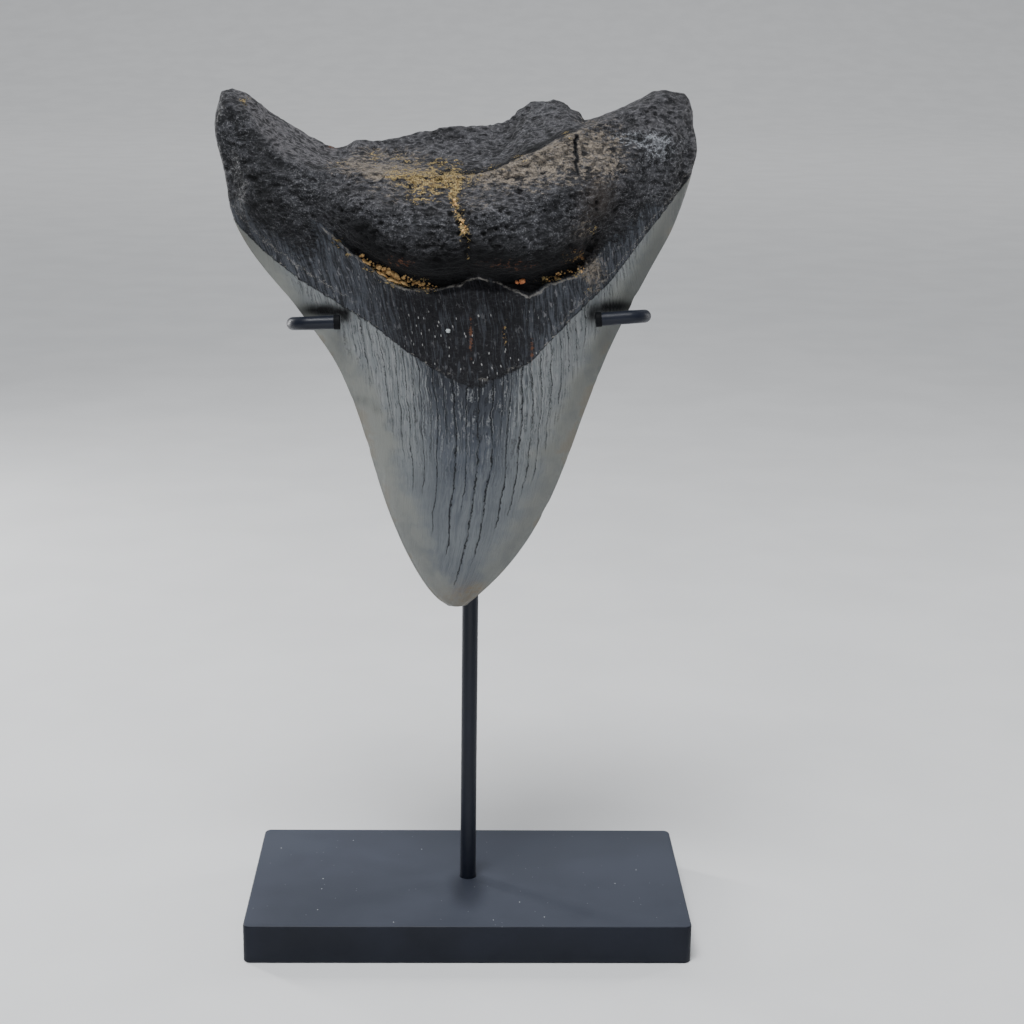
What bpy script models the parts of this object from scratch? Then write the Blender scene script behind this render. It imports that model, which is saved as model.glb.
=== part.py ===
"""A fossil shark tooth held on a small steel display stand.

Five pieces: a flat base, an upright post that stands in a socket in the base, two bent wire arms
brazed to the sides of the post, and the tooth, which hangs point down between the arms.

Lengths below are in millimetres. The row frame has its origin at the centre of the base's underside,
+X to the viewer's right, +Y away from the viewer and +Z up.
"""

import math

import bmesh
import bpy
from mathutils import Matrix, Vector, noise

MM = 0.001
FIT_GAP = 0.3

# Base and post
BASE_SIZE = (110.0, 55.0, 10.0)
BASE_BEVEL = 0.7
POST_RADIUS = 2.0
POST_TOP_Z = 157.0
POST_SIDES = 24
SOCKET_DEPTH = 8.0

# Arms: 3.1 mm wire, from the side of the post, round the edge of the tooth, onto its front face
WIRE_RADIUS = 1.55
WIRE_BEND_RADIUS = 4.2
WIRE_BEND_STEPS = 8
ARM_ROUTES = {
    "left_arm": [
        (-(POST_RADIUS + FIT_GAP), 0.1, 153.4),
        (-41.8, -0.6, 153.7),
        (-41.8, -12.3, 155.6),
        (-30.7, -12.3, 156.1),
    ],
    "right_arm": [
        (POST_RADIUS + FIT_GAP, 0.1, 155.2),
        (40.1, -0.6, 156.2),
        (40.1, -12.0, 158.2),
        (28.4, -12.0, 157.2),
    ],
}

# Tooth frame: x across, t up from the tip along the tooth, depth towards the viewer or the back.
# Depth 0 is the plane of the cutting edges, and the tooth leans back by TOOTH_LEAN.
TOOTH_TIP = (0.0, -11.4, 86.9)
TOOTH_LEAN = math.radians(4.0)

# Outline seen from the front, from the tip upwards: (x, t)
LEFT_OUTLINE = [
    (-5.4, 0.6), (-8.2, 2.2), (-12.2, 7.5), (-16.3, 15.4), (-20.2, 25.0), (-23.2, 34.8),
    (-27.2, 48.0), (-32.2, 59.5), (-38.6, 68.6), (-41.8, 72.9), (-47.6, 79.8), (-52.9, 87.4),
    (-56.2, 94.6), (-57.3, 103.0), (-59.2, 111.5), (-59.2, 116.6), (-57.6, 119.4),
]  # fmt: skip
RIGHT_OUTLINE = [
    (-1.0, 0.7), (2.5, 3.6), (8.2, 9.4), (13.9, 17.3), (18.1, 25.2), (22.4, 35.9),
    (26.7, 48.6), (31.4, 61.2), (35.2, 69.6), (40.8, 80.8), (45.7, 90.1), (48.6, 98.0),
    (50.5, 104.6), (51.5, 109.6), (50.3, 113.8), (50.0, 117.8), (48.8, 119.4),
]  # fmt: skip

# Upper rim of the root between the lobes: the front crest, and the ridge behind it, (x, t)
FRONT_CREST = [
    (-57.6, 118.4), (-52.6, 115.0), (-47.0, 108.6), (-41.0, 104.6), (-36.0, 103.4), (-16.7, 103.2),
    (-1.0, 102.8), (6.0, 104.8), (14.7, 108.4), (22.5, 112.4), (28.1, 114.6), (37.0, 118.0),
    (43.0, 120.2), (48.6, 117.8),
]  # fmt: skip
REAR_RIDGE = [
    (-57.6, 119.0), (-55.2, 120.2), (-51.0, 118.9), (-44.5, 114.8), (-37.0, 110.6), (-31.5, 108.5),
    (-27.0, 110.5), (-22.6, 110.2), (-13.4, 112.8), (-7.0, 114.2), (3.0, 114.6), (8.0, 116.1),
    (11.4, 119.2), (14.0, 120.6), (17.0, 120.5), (20.4, 120.7), (23.4, 118.1), (25.8, 115.2),
    (31.0, 117.2), (38.0, 119.4), (42.6, 121.6), (48.6, 119.3),
]  # fmt: skip

# Foot of the root's swelling, where its ledge meets the lip of the crown, across the front, (x, t)
SWELLING_FOOT = [
    (-48.0, 99.0), (-36.0, 91.0), (-31.5, 87.4), (-25.0, 82.9), (-17.0, 78.9), (-8.0, 77.4),
    (-1.0, 78.6), (6.0, 78.0), (18.0, 79.4), (24.5, 83.0), (30.5, 90.0), (42.0, 98.0),
]  # fmt: skip

# Depth of the front face and of the back face on the centre line, (t, depth)
FRONT_DEPTH = [
    (0, 0.8), (3, 2.2), (9, 4.1), (20, 6.3), (40, 8.9), (55, 10.2), (70, 11.0), (82, 11.4),
    (96, 11.0), (110, 8.6), (122, 6.0),
]  # fmt: skip
BACK_DEPTH = [
    (0, 0.5), (5, 1.5), (20, 2.4), (45, 3.2), (68, 3.5), (80, 4.8), (92, 7.2), (104, 9.0), (114, 8.4),
    (122, 5.5),
]  # fmt: skip

# Depth of the crest in front of the plane, and of the ridge behind it, (x, depth)
CREST_DEPTH = [
    (-57, 3.4), (-50, 6.6), (-38, 9.6), (-20, 12.0), (0, 12.6), (18, 11.4), (32, 8.6), (43, 5.6), (49, 3.6),
]  # fmt: skip
RIDGE_DEPTH = [
    (-57, 3.2), (-50, 5.2), (-38, 7.2), (-20, 8.6), (0, 9.2), (18, 9.0), (32, 7.4), (43, 5.2), (49, 3.4),
]  # fmt: skip

# Half thickness of the rim, (t, half thickness): a worn cutting edge on the crown, blunt on the root.
# The rim bows out by SIDE_BOW of it at the sides and by TIP_BOW of it at the tip.
EDGE_THICKNESS = [(0, 0.9), (6, 0.7), (20, 0.55), (86, 0.6), (96, 1.8), (106, 3.2), (122, 3.4)]
SIDE_BOW = 0.8
TIP_BOW = 0.3

# Share of the way up from which the faces turn to the crest and the ridge
CREST_TURN = 0.88

# Height by which the top of the root is domed on the lobes and hollowed between them, (x, height)
TOP_DOME = [
    (-57, 2.8), (-48, 1.6), (-36, -0.6), (-20, -2.8), (4, -3.0), (20, -1.4), (30, 0.2), (40, 1.2), (49, 1.6),
]  # fmt: skip

# The swelling stands out over the crown, from the ledge at its foot to the crest. The groove and the
# lip at its foot are (place above the foot line, half width, height), and a furrow runs down its middle.
SWELLING_CENTRE_X = -2.0
SWELLING_HALF_WIDTHS = (35.0, 34.0)
SWELLING_HEIGHT = 8.8
SWELLING_RISE = 10.5
SWELLING_FALL = 17.0
SWELLING_SHARE_AT_CREST = 0.36
FOOT_GROOVE = (1.6, 1.5, 2.2)
FOOT_LIP = (-1.0, 1.9, 0.9)
FURROW_X = -3.0
FURROW_WIDTH = 2.6
FURROW_DEPTH = 1.0

# Gentle unevenness of the root
LUMP_SIZE = 9.0
LUMP_HEIGHT = 0.6

# How finely the tooth is divided across, through its thickness, and up. The rows are closest at the
# foot of the swelling, which is the row at FOOT_ROW, (share of the rows, share of the way up).
# Near the sides, within ROW_END of the width, the rows turn from the foot line to the outlines.
TOOTH_CELLS = (40, 6, 40)
ROW_END = 0.1
FOOT_ROW = 0.55
FOOT_UP = 0.66
ROW_PLACES = [(0.0, 0.0), (0.08, 0.035), (0.4, 0.57), (FOOT_ROW, FOOT_UP), (0.75, 0.79), (1.0, 1.0)]

PAINTED_STEEL = ((0.045, 0.052, 0.066, 1.0), 0.55, 0.0)
FOSSIL = ((0.085, 0.085, 0.09, 1.0), 0.62, 0.0)


def clear_scene():
    for obj in list(bpy.data.objects):
        bpy.data.objects.remove(obj)


def new_collection(name):
    collection = bpy.data.collections.new(name)
    bpy.context.scene.collection.children.link(collection)
    return collection


def material(name, finish):
    colour, roughness, metallic = finish
    made = bpy.data.materials.new(name)
    made.use_nodes = True
    shader = made.node_tree.nodes["Principled BSDF"]
    shader.inputs["Base Color"].default_value = colour
    shader.inputs["Roughness"].default_value = roughness
    shader.inputs["Metallic"].default_value = metallic
    return made


def place(obj, name, collection, finish):
    """Names an object, puts it in its collection alone, and gives it its material."""
    obj.name = name
    for owner in list(obj.users_collection):
        owner.objects.unlink(obj)
    collection.objects.link(obj)
    obj.data.materials.append(finish)
    return obj


def smoothstep(low, high, value):
    share = min(1.0, max(0.0, (value - low) / (high - low)))
    return share * share * (3.0 - 2.0 * share)


def through(points, value):
    """The height at value of a smooth curve through (position, height) points, by Hermite steps."""
    if value <= points[0][0]:
        return points[0][1]
    if value >= points[-1][0]:
        return points[-1][1]
    last = len(points) - 1
    i = next(k for k in range(last) if points[k + 1][0] >= value)
    (x0, y0), (x1, y1) = points[i], points[i + 1]
    before, after = points[max(0, i - 1)], points[min(last, i + 2)]
    slope0 = (y1 - before[1]) / (x1 - before[0])
    slope1 = (after[1] - y0) / (after[0] - x0)
    width = x1 - x0
    s = (value - x0) / width
    return (
        y0 * (1 + 2 * s) * (1 - s) ** 2
        + slope0 * width * s * (1 - s) ** 2
        + y1 * s * s * (3 - 2 * s)
        + slope1 * width * s * s * (s - 1)
    )


def by_share_of_length(outline):
    """The outline's x and its t, each as points of a curve over the share of the outline's length."""
    lengths = [0.0]
    for start, end in zip(outline, outline[1:]):
        lengths.append(lengths[-1] + math.dist(start, end))
    shares = [length / lengths[-1] for length in lengths]
    return [[(share, point[axis]) for share, point in zip(shares, outline)] for axis in (0, 1)]


LEFT_X, LEFT_T = by_share_of_length(LEFT_OUTLINE)
RIGHT_X, RIGHT_T = by_share_of_length(RIGHT_OUTLINE)


def between_outlines(across, up):
    """(x, t) on the straight line from the left outline to the right one at a share of their length."""
    bow = SIDE_BOW * through(EDGE_THICKNESS, through(LEFT_T, up))
    left = through(LEFT_X, up) + bow
    right = through(RIGHT_X, up) - bow
    x = (1 - across) * left + across * right
    t = (1 - across) * through(LEFT_T, up) + across * through(RIGHT_T, up)
    return x, t


def on_sheet(across, up, rim):
    """(x, t) of a point of the front or back sheet, whose rows sag to the foot line and to the rim."""
    x, t = between_outlines(across, up)
    foot_x, foot_t = between_outlines(across, FOOT_UP)
    top_x, top_t = between_outlines(across, 1.0)
    inner = min(1.0, across / ROW_END, (1.0 - across) / ROW_END)
    foot_sag = inner * (through(SWELLING_FOOT, foot_x) - foot_t)
    rim_sag = through(rim, top_x) - top_t
    if up < FOOT_UP:
        return x, t + foot_sag * (up / FOOT_UP) ** 2.5
    above = (up - FOOT_UP) / (1.0 - FOOT_UP)
    return x, t + (1 - above) * foot_sag + above * rim_sag


def bump(value, centre, half_width, height):
    return height * math.exp(-(((value - centre) / half_width) ** 2))


def swelling(x, t):
    """Depth that the root's swelling adds to the front face, with the groove and lip along its foot."""
    above_foot = t - through(SWELLING_FOOT, x)
    half_width = SWELLING_HALF_WIDTHS[0] if x < SWELLING_CENTRE_X else SWELLING_HALF_WIDTHS[1]
    sideways = min(1.0, abs(x - SWELLING_CENTRE_X) / half_width)
    width_share = (1.0 - sideways**2.4) ** 1.1
    rise = smoothstep(0.0, SWELLING_RISE, above_foot) ** 0.65
    fallen = smoothstep(SWELLING_RISE, SWELLING_RISE + SWELLING_FALL, above_foot)
    height = SWELLING_HEIGHT * rise * (1.0 - (1.0 - SWELLING_SHARE_AT_CREST) * fallen)
    foot_share = smoothstep(0.0, 0.35, width_share)
    foot = bump(above_foot, *FOOT_LIP) - bump(above_foot, *FOOT_GROOVE)
    return width_share * height + foot_share * foot - rise * bump(x, FURROW_X, FURROW_WIDTH, FURROW_DEPTH)


def section(sideways, root_share):
    """Share of the full depth at a place across the tooth: lens-shaped on the crown, blunter on the root."""
    lens = (1.0 - sideways**2.1) ** 0.85
    blunt = (1.0 - sideways**3.4) ** 0.6
    return (1 - root_share) * lens + root_share * blunt


def front_depth(across, x, t, up):
    sideways = abs(2 * across - 1)
    root_share = smoothstep(84.0, 102.0, t)
    rounded = through(FRONT_DEPTH, t) * section(sideways, root_share)
    face = through(EDGE_THICKNESS, t) + rounded + swelling(x, t)
    return face + smoothstep(CREST_TURN, 1.0, up) * (through(CREST_DEPTH, x) - face)


def back_depth(across, x, t, up):
    sideways = abs(2 * across - 1)
    root_share = smoothstep(78.0, 98.0, t)
    face = through(EDGE_THICKNESS, t) + through(BACK_DEPTH, t) * section(sideways, root_share)
    return face + smoothstep(CREST_TURN, 1.0, up) * (through(RIDGE_DEPTH, x) - face)


def unevenness(point):
    """Gentle lumps of the root, none on the crown."""
    return LUMP_HEIGHT * noise.noise(point / LUMP_SIZE) * smoothstep(76.0, 92.0, point.z)


def tooth_point(across, inward, up):
    """The place in the tooth frame of a point of the unit box: across, from front to back, and up."""
    front_x, front_t = on_sheet(across, up, FRONT_CREST)
    back_x, back_t = on_sheet(across, up, REAR_RIDGE)
    front = Vector((front_x, -front_depth(across, front_x, front_t, up), front_t))
    back = Vector((back_x, back_depth(across, back_x, back_t, up), back_t))
    point = front.lerp(back, inward)
    arch = math.sqrt(max(0.0, 1.0 - (2 * inward - 1) ** 2))
    edge = arch * through(EDGE_THICKNESS, point.z)
    if across == 0.0:
        point.x -= SIDE_BOW * edge
    if across == 1.0:
        point.x += SIDE_BOW * edge
    if up == 0.0:
        point.z -= TIP_BOW * edge
    if up == 1.0:
        point.z += arch * through(TOP_DOME, point.x)
    point.y += unevenness(point) * (2 * inward - 1)
    return point


def divided_box(cells):
    """A unit box with its edges cut into cells along X, Y and Z, as a bmesh."""
    made = bmesh.new()
    bmesh.ops.create_cube(made, size=1.0, matrix=Matrix.Translation((0.5, 0.5, 0.5)))
    for axis, count in enumerate(cells):
        along = [
            edge
            for edge in made.edges
            if abs((edge.verts[1].co - edge.verts[0].co).normalized()[axis]) > 0.99
        ]
        bmesh.ops.subdivide_edges(made, edges=along, cuts=count - 1, use_grid_fill=True)
    return made


def add_tooth(collection, finish):
    """A finely divided box whose points are moved to the shape of the tooth."""
    shape = divided_box(TOOTH_CELLS)
    for vertex in shape.verts:
        across, inward, row = (round(value, 5) for value in vertex.co)
        vertex.co = tooth_point(across, inward, through(ROW_PLACES, row)) * MM
    mesh = bpy.data.meshes.new("tooth")
    shape.to_mesh(mesh)
    shape.free()
    mesh.shade_smooth()
    tooth = bpy.data.objects.new("tooth", mesh)
    bpy.context.scene.collection.objects.link(tooth)
    tooth.location = Vector(TOOTH_TIP) * MM
    tooth.rotation_euler = (-TOOTH_LEAN, 0.0, 0.0)
    return place(tooth, "tooth", collection, finish)


def add_base(collection, cutters, finish):
    """A flat bevelled block with a blind socket for the post."""
    width, depth, height = (side * MM for side in BASE_SIZE)
    bpy.ops.mesh.primitive_cube_add(size=1.0, location=(0.0, 0.0, height / 2))
    base = bpy.context.object
    base.scale = (width, depth, height)
    bpy.ops.object.transform_apply(location=False, rotation=False, scale=True)
    bevel = base.modifiers.new("edges", "BEVEL")
    bevel.width = BASE_BEVEL * MM
    bevel.segments = 3
    bpy.ops.mesh.primitive_cylinder_add(
        vertices=POST_SIDES,
        radius=(POST_RADIUS + FIT_GAP) * MM,
        depth=2 * SOCKET_DEPTH * MM,
        end_fill_type="NGON",
        location=(0.0, 0.0, height),
    )
    socket = place(bpy.context.object, "socket_cutter", cutters, finish)
    socket.hide_render = True
    socket.display_type = "WIRE"
    cut = base.modifiers.new("socket", "BOOLEAN")
    cut.operation = "DIFFERENCE"
    cut.object = socket
    return place(base, "base", collection, finish)


def add_post(collection, finish):
    """A round rod from the floor of its socket to behind the tooth, with a chamfered top."""
    foot = BASE_SIZE[2] - SOCKET_DEPTH + FIT_GAP
    bpy.ops.mesh.primitive_cylinder_add(
        vertices=POST_SIDES,
        radius=POST_RADIUS * MM,
        depth=(POST_TOP_Z - foot) * MM,
        end_fill_type="NGON",
        location=(0.0, 0.0, (POST_TOP_Z + foot) / 2 * MM),
    )
    post = bpy.context.object
    chamfer = post.modifiers.new("chamfer", "BEVEL")
    chamfer.width = 0.4 * MM
    chamfer.segments = 2
    chamfer.limit_method = "ANGLE"
    return place(post, "post", collection, finish)


def rounded_route(corners, radius, steps):
    """The route with an arc of that radius at each inner corner."""
    route = [Vector(corners[0])]
    for before, corner, after in zip(corners, corners[1:], corners[2:]):
        corner = Vector(corner)
        back = (Vector(before) - corner).normalized()
        on = (Vector(after) - corner).normalized()
        half_angle = back.angle(on) / 2
        reach = radius / math.tan(half_angle)
        centre = corner + (back + on).normalized() * (radius / math.sin(half_angle))
        start = corner + back * reach - centre
        end = corner + on * reach - centre
        turn = start.rotation_difference(end)
        for step in range(steps + 1):
            part_turn = turn.copy()
            part_turn.angle = turn.angle * step / steps
            route.append(centre + part_turn @ start)
    route.append(Vector(corners[-1]))
    return route


def add_arm(name, corners, collection, finish):
    """A bent wire with filled, square-cut ends."""
    route = rounded_route(corners, WIRE_BEND_RADIUS, WIRE_BEND_STEPS)
    curve = bpy.data.curves.new(name, "CURVE")
    curve.dimensions = "3D"
    curve.bevel_depth = WIRE_RADIUS * MM
    curve.bevel_resolution = 4
    curve.use_fill_caps = True
    wire = curve.splines.new("POLY")
    wire.points.add(len(route) - 1)
    for point, position in zip(wire.points, route):
        point.co = (*(position * MM), 1.0)
    arm = bpy.data.objects.new(name, curve)
    bpy.context.scene.collection.objects.link(arm)
    return place(arm, name, collection, finish)


def main():
    clear_scene()
    parts = new_collection("fossil_tooth_on_stand")
    cutters = new_collection("cutters")
    painted_steel = material("painted_steel", PAINTED_STEEL)
    fossil = material("fossil", FOSSIL)
    add_base(parts, cutters, painted_steel)
    add_post(parts, painted_steel)
    for name, corners in ARM_ROUTES.items():
        add_arm(name, corners, parts, painted_steel)
    add_tooth(parts, fossil)


main()
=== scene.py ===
# %% [markdown]
# # A fossil shark tooth on a steel display stand
#
# The object is one large fossil tooth and the small stand that holds it: a flat base, an upright rod
# and two bent wires that hook round the tooth. The solid model gives each piece its true size and
# place. This lesson adds what the eye looks for: the rough dark root, the cracked grey enamel, the
# crumbs of sediment and the satin paint.
#
# The solid model could be coloured as it is, or every piece could be modelled again from nothing. We
# do something between the two. The tooth starts as a copy of its solid, because its outline is right,
# and gets its fine surface here. The stand is modelled again, because round rods deserve round meshes.

# %% Load the fixed frame
import math
from types import SimpleNamespace

import bmesh
import bpy
import numpy as np
from mathutils import Euler, Matrix, Vector, noise
from mathutils.bvhtree import BVHTree


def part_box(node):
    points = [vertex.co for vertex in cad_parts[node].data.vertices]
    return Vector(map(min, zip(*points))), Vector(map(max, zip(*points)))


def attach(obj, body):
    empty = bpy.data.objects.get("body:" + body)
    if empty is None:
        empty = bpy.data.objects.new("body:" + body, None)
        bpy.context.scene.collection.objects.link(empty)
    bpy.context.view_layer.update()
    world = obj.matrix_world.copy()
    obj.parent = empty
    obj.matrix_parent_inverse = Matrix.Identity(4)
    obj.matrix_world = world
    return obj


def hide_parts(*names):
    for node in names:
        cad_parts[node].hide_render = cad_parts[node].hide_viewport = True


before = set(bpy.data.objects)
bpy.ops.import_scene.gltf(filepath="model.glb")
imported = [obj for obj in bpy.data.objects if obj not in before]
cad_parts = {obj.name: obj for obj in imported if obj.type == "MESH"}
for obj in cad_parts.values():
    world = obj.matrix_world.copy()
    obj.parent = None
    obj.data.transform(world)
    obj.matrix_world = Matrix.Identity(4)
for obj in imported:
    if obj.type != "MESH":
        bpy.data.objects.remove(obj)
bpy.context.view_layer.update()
MM = 0.001
print("the frame has", sorted(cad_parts))

# %% [markdown]
# ## The camera
#
# A camera can be aimed by eye or worked out. This one was worked out from the corners of the base and
# the ends of the rod, so it has a place, three turns and a lens. It looks slightly down, which is how
# a tooth on a table is seen, and it is turned and rolled by a degree or so, as a hand-held camera is.

# %% Set up the camera
CAMERA_PLACE = Vector((-2.1, -434.0, 227.0)) * MM
CAMERA_DOWN = math.radians(15.38)
CAMERA_YAW = math.radians(1.60)
CAMERA_ROLL = math.radians(0.85)
CAMERA_LENS_MM = 64.69

bpy.ops.object.camera_add()
camera = bpy.context.object
camera.name = "camera"
aim = Euler((math.pi / 2 - CAMERA_DOWN, 0.0, -CAMERA_YAW)).to_matrix()
turned = aim @ Matrix.Rotation(CAMERA_ROLL, 3, "Z")
camera.matrix_world = Matrix.Translation(CAMERA_PLACE) @ turned.to_4x4()
camera.data.lens = CAMERA_LENS_MM
camera.data.clip_start = 0.01
bpy.context.scene.camera = camera
print("camera at", [round(value, 3) for value in camera.location])

# %% [markdown]
# ## Small tools for modelling
#
# Operators act on whatever is selected, so each step begins by clearing the selection. Faces and edges
# are then chosen by where they are, as a hand would click them.


# %% Selection and finishing helpers
def only(obj):
    """Leaves object mode's selection with this one object, which becomes active."""
    bpy.ops.object.select_all(action="DESELECT")
    obj.select_set(True)
    bpy.context.view_layer.objects.active = obj
    return obj


def select_in_edit(obj, part, wanted):
    """In edit mode, selects the verts, edges or faces for which wanted(item) is true."""
    modes = {"verts": "VERT", "edges": "EDGE", "faces": "FACE"}
    bpy.ops.mesh.select_mode(type=modes[part])
    bpy.ops.mesh.select_all(action="DESELECT")
    shape = bmesh.from_edit_mesh(obj.data)
    chosen = [item for item in getattr(shape, part) if wanted(item)]
    for item in chosen:
        item.select_set(True)
    bmesh.update_edit_mesh(obj.data)
    return len(chosen)


def bevel_edges(obj, offset, segments, wanted):
    """In edit mode, rounds the edges for which wanted(edge) is true."""
    select_in_edit(obj, "edges", wanted)
    bpy.ops.mesh.bevel(offset=offset, segments=segments, profile=0.5)


def settle(obj, name, *materials, body="root"):
    """Applies an object's place, names it, gives it its materials and lets it ride on a body."""
    only(obj)
    bpy.ops.object.transform_apply(location=True, rotation=True, scale=True)
    obj.name = name
    obj.data.name = name
    obj.data.materials.clear()
    for material in materials:
        obj.data.materials.append(material)
    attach(obj, body)
    print(name, "has", sum(len(face.vertices) - 2 for face in obj.data.polygons), "triangles")
    return obj


# %% [markdown]
# ## The floor and the light
#
# Dark, rough things need large soft lights: a small lamp would give hard glints and black shadows. A
# softbox hangs above and a little in front, so its light rakes down over the root and brings out its
# roughness. A weak low panel in front fills the undersides. Two thin strips behind draw a bright line
# along the rods, and a wash lights the wall. The floor is paper that curves up into that wall far
# behind, so no horizon is in view.

# %% Make the floor
FLOOR_WIDTH = 12.0
WALL_HEIGHT = 5.0
WALL_CURVE = 3.0

bpy.ops.mesh.primitive_plane_add(size=FLOOR_WIDTH, location=(0.0, 0.0, 0.0))
floor = bpy.context.object
floor.name = "floor"
at_back = lambda vertex: vertex.co.y > FLOOR_WIDTH / 2 - 0.1
bpy.ops.object.mode_set(mode="EDIT")
select_in_edit(floor, "edges", lambda edge: all(at_back(vertex) for vertex in edge.verts))
bpy.ops.mesh.extrude_region_move(TRANSFORM_OT_translate={"value": (0.0, 0.0, WALL_HEIGHT)})
at_fold = lambda vertex: at_back(vertex) and vertex.co.z < 0.01
bevel_edges(floor, WALL_CURVE, 24, lambda edge: all(at_fold(vertex) for vertex in edge.verts))
bpy.ops.object.mode_set(mode="OBJECT")
bpy.ops.object.shade_smooth_by_angle(angle=math.radians(30))
print("the floor has", len(floor.data.polygons), "faces")


# %% Hang the lights
def hang_light(name, place, size, watts, colour=(1.0, 1.0, 1.0), aim_at=(0.0, 0.0, 0.14)):
    """A rectangular softbox at a place in metres, turned to face a point."""
    bpy.ops.object.light_add(type="AREA", location=place)
    light = bpy.context.object
    light.name = name
    light.data.shape = "RECTANGLE"
    light.data.size, light.data.size_y = size
    light.data.energy = watts
    light.data.color = colour
    light.rotation_euler = (Vector(aim_at) - Vector(place)).to_track_quat("-Z", "Y").to_euler()
    return light


hang_light("panel_low", (0.0, -0.36, 0.075), (0.34, 0.10), 0.26, aim_at=(0.0, -0.02, 0.17))
hang_light("softbox_above", (-0.10, -0.30, 0.85), (0.34, 0.30), 8.0, colour=(0.97, 0.985, 1.0))
hang_light("strip_left", (-0.50, 0.34, 0.20), (0.08, 0.45), 3.0)
hang_light("strip_right", (0.60, 0.30, 0.20), (0.06, 0.45), 1.2)
hang_light("floor_wash", (0.0, 2.0, 2.6), (5.0, 1.5), 60.0, aim_at=(0.0, 4.0, 0.0))

world = bpy.data.worlds.new("studio")
bpy.context.scene.world = world
world.use_nodes = True
sky = world.node_tree.nodes["Background"].inputs
sky["Color"].default_value = (0.90, 0.94, 1.0, 1.0)
sky["Strength"].default_value = 0.22

# %% [markdown]
# ## Small tools for building materials
#
# A node tree can be wired by hand in the editor, or in code. In code the wiring is mostly repetition,
# so a few helpers take it over. A Value is a number that changes over the surface. It can be added,
# multiplied and faded like a plain number, and each sum adds its own Math node. A colour is built up in
# layers: a ground, then paints, each with a Value that says where it lies.


# %% Nodes and sockets
def fill_socket(socket, value):
    """Links a socket to a value or another socket, or sets its number or colour."""
    value = getattr(value, "socket", value)
    if isinstance(value, bpy.types.NodeSocket):
        socket.id_data.links.new(value, socket)
    else:
        socket.default_value = value


def add_node(tree, kind, sockets=None, **settings):
    """Adds a shader node, sets its properties, and fills its input sockets by name or number."""
    node = tree.nodes.new("ShaderNode" + kind)
    for name, value in settings.items():
        setattr(node, name, value)
    for key, value in (sockets or {}).items():
        fill_socket(node.inputs[key], value)
    return node


# %% Values that work like numbers
class Value:
    """A number that changes over the surface. Working with it adds nodes to its tree."""

    def __init__(self, socket):
        self.socket = socket

    def math(self, operation, other=0.0):
        """The output of a Math node that reads this value and another one."""
        sockets = {0: self, 1: other}
        return Value(add_node(self.socket.id_data, "Math", sockets, operation=operation).outputs[0])

    def __add__(self, other):
        return self.math("ADD", other)

    def __sub__(self, other):
        return self.math("SUBTRACT", other)

    def __mul__(self, other):
        return self.math("MULTIPLY", other)

    def __truediv__(self, other):
        return self.math("DIVIDE", other)

    def __abs__(self):
        return self.math("ABSOLUTE")

    def or_more(self, other):
        return self.math("MAXIMUM", other)

    def off_whole(self):
        """How far the value is from the nearest whole number."""
        return abs(self - self.math("ROUND"))

    def fade(self, low, high, to_low=0.0, to_high=1.0):
        """A smooth step: to_low at low, to_high at high. Low may be the larger one."""
        sockets = {"Value": self, "From Min": low, "From Max": high, "To Min": to_low, "To Max": to_high}
        node = add_node(self.socket.id_data, "MapRange", sockets, interpolation_type="SMOOTHSTEP")
        return Value(node.outputs["Result"])

    def between(self, first, second):
        """The first value where this one is 0, and the second where it is 1."""
        sockets = {"Value": self, "To Min": first, "To Max": second}
        return Value(add_node(self.socket.id_data, "MapRange", sockets).outputs["Result"])


# %% Layers of colour and finished surfaces
def layered(colour, *layers):
    """A colour with paints laid over it. Each layer is a Value that says where, and a colour."""
    for share, paint in layers:
        node = add_node(share.socket.id_data, "Mix", {"Factor": share}, data_type="RGBA")
        under, over = (socket for socket in node.inputs if socket.type == "RGBA")
        fill_socket(under, colour)
        fill_socket(over, paint)
        colour = next(socket for socket in node.outputs if socket.type == "RGBA")
    return colour


def start_material(name):
    """A material with one Principled shader: the material, its tree and its Object coordinates."""
    made = bpy.data.materials.new(name)
    made.use_nodes = True
    return made, made.node_tree, add_node(made.node_tree, "TexCoord").outputs["Object"]


def finish_material(made, colour, roughness, shine, bump=None):
    """Fills the shader. Bump is a height, a strength and how far the height reaches in mm."""
    shader = made.node_tree.nodes["Principled BSDF"]
    fill_socket(shader.inputs["Base Color"], colour)
    fill_socket(shader.inputs["Roughness"], roughness)
    shader.inputs["Specular IOR Level"].default_value = shine
    if bump:
        height, strength, reach = bump
        sockets = {"Height": height, "Strength": strength, "Distance": reach * MM}
        fill_socket(shader.inputs["Normal"], add_node(made.node_tree, "Bump", sockets).outputs["Normal"])
    return made


def axis_of(tree, vector, axis):
    """One of a vector's three numbers."""
    return Value(add_node(tree, "SeparateXYZ", {0: vector}).outputs[axis])


print("tools for materials are ready")

# %% [markdown]
# ## Effects that several finishes share
#
# Dust lies on the painted base and mineral specks sit on the fossil, and both are the same pattern:
# small separate dots. Cells of a Voronoi texture give it, because each cell has one centre, and only
# the cells that draw a low random number get a dot. The second effect is grain, two sizes of noise
# added together, which makes paint slightly uneven and bone rough.


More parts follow.
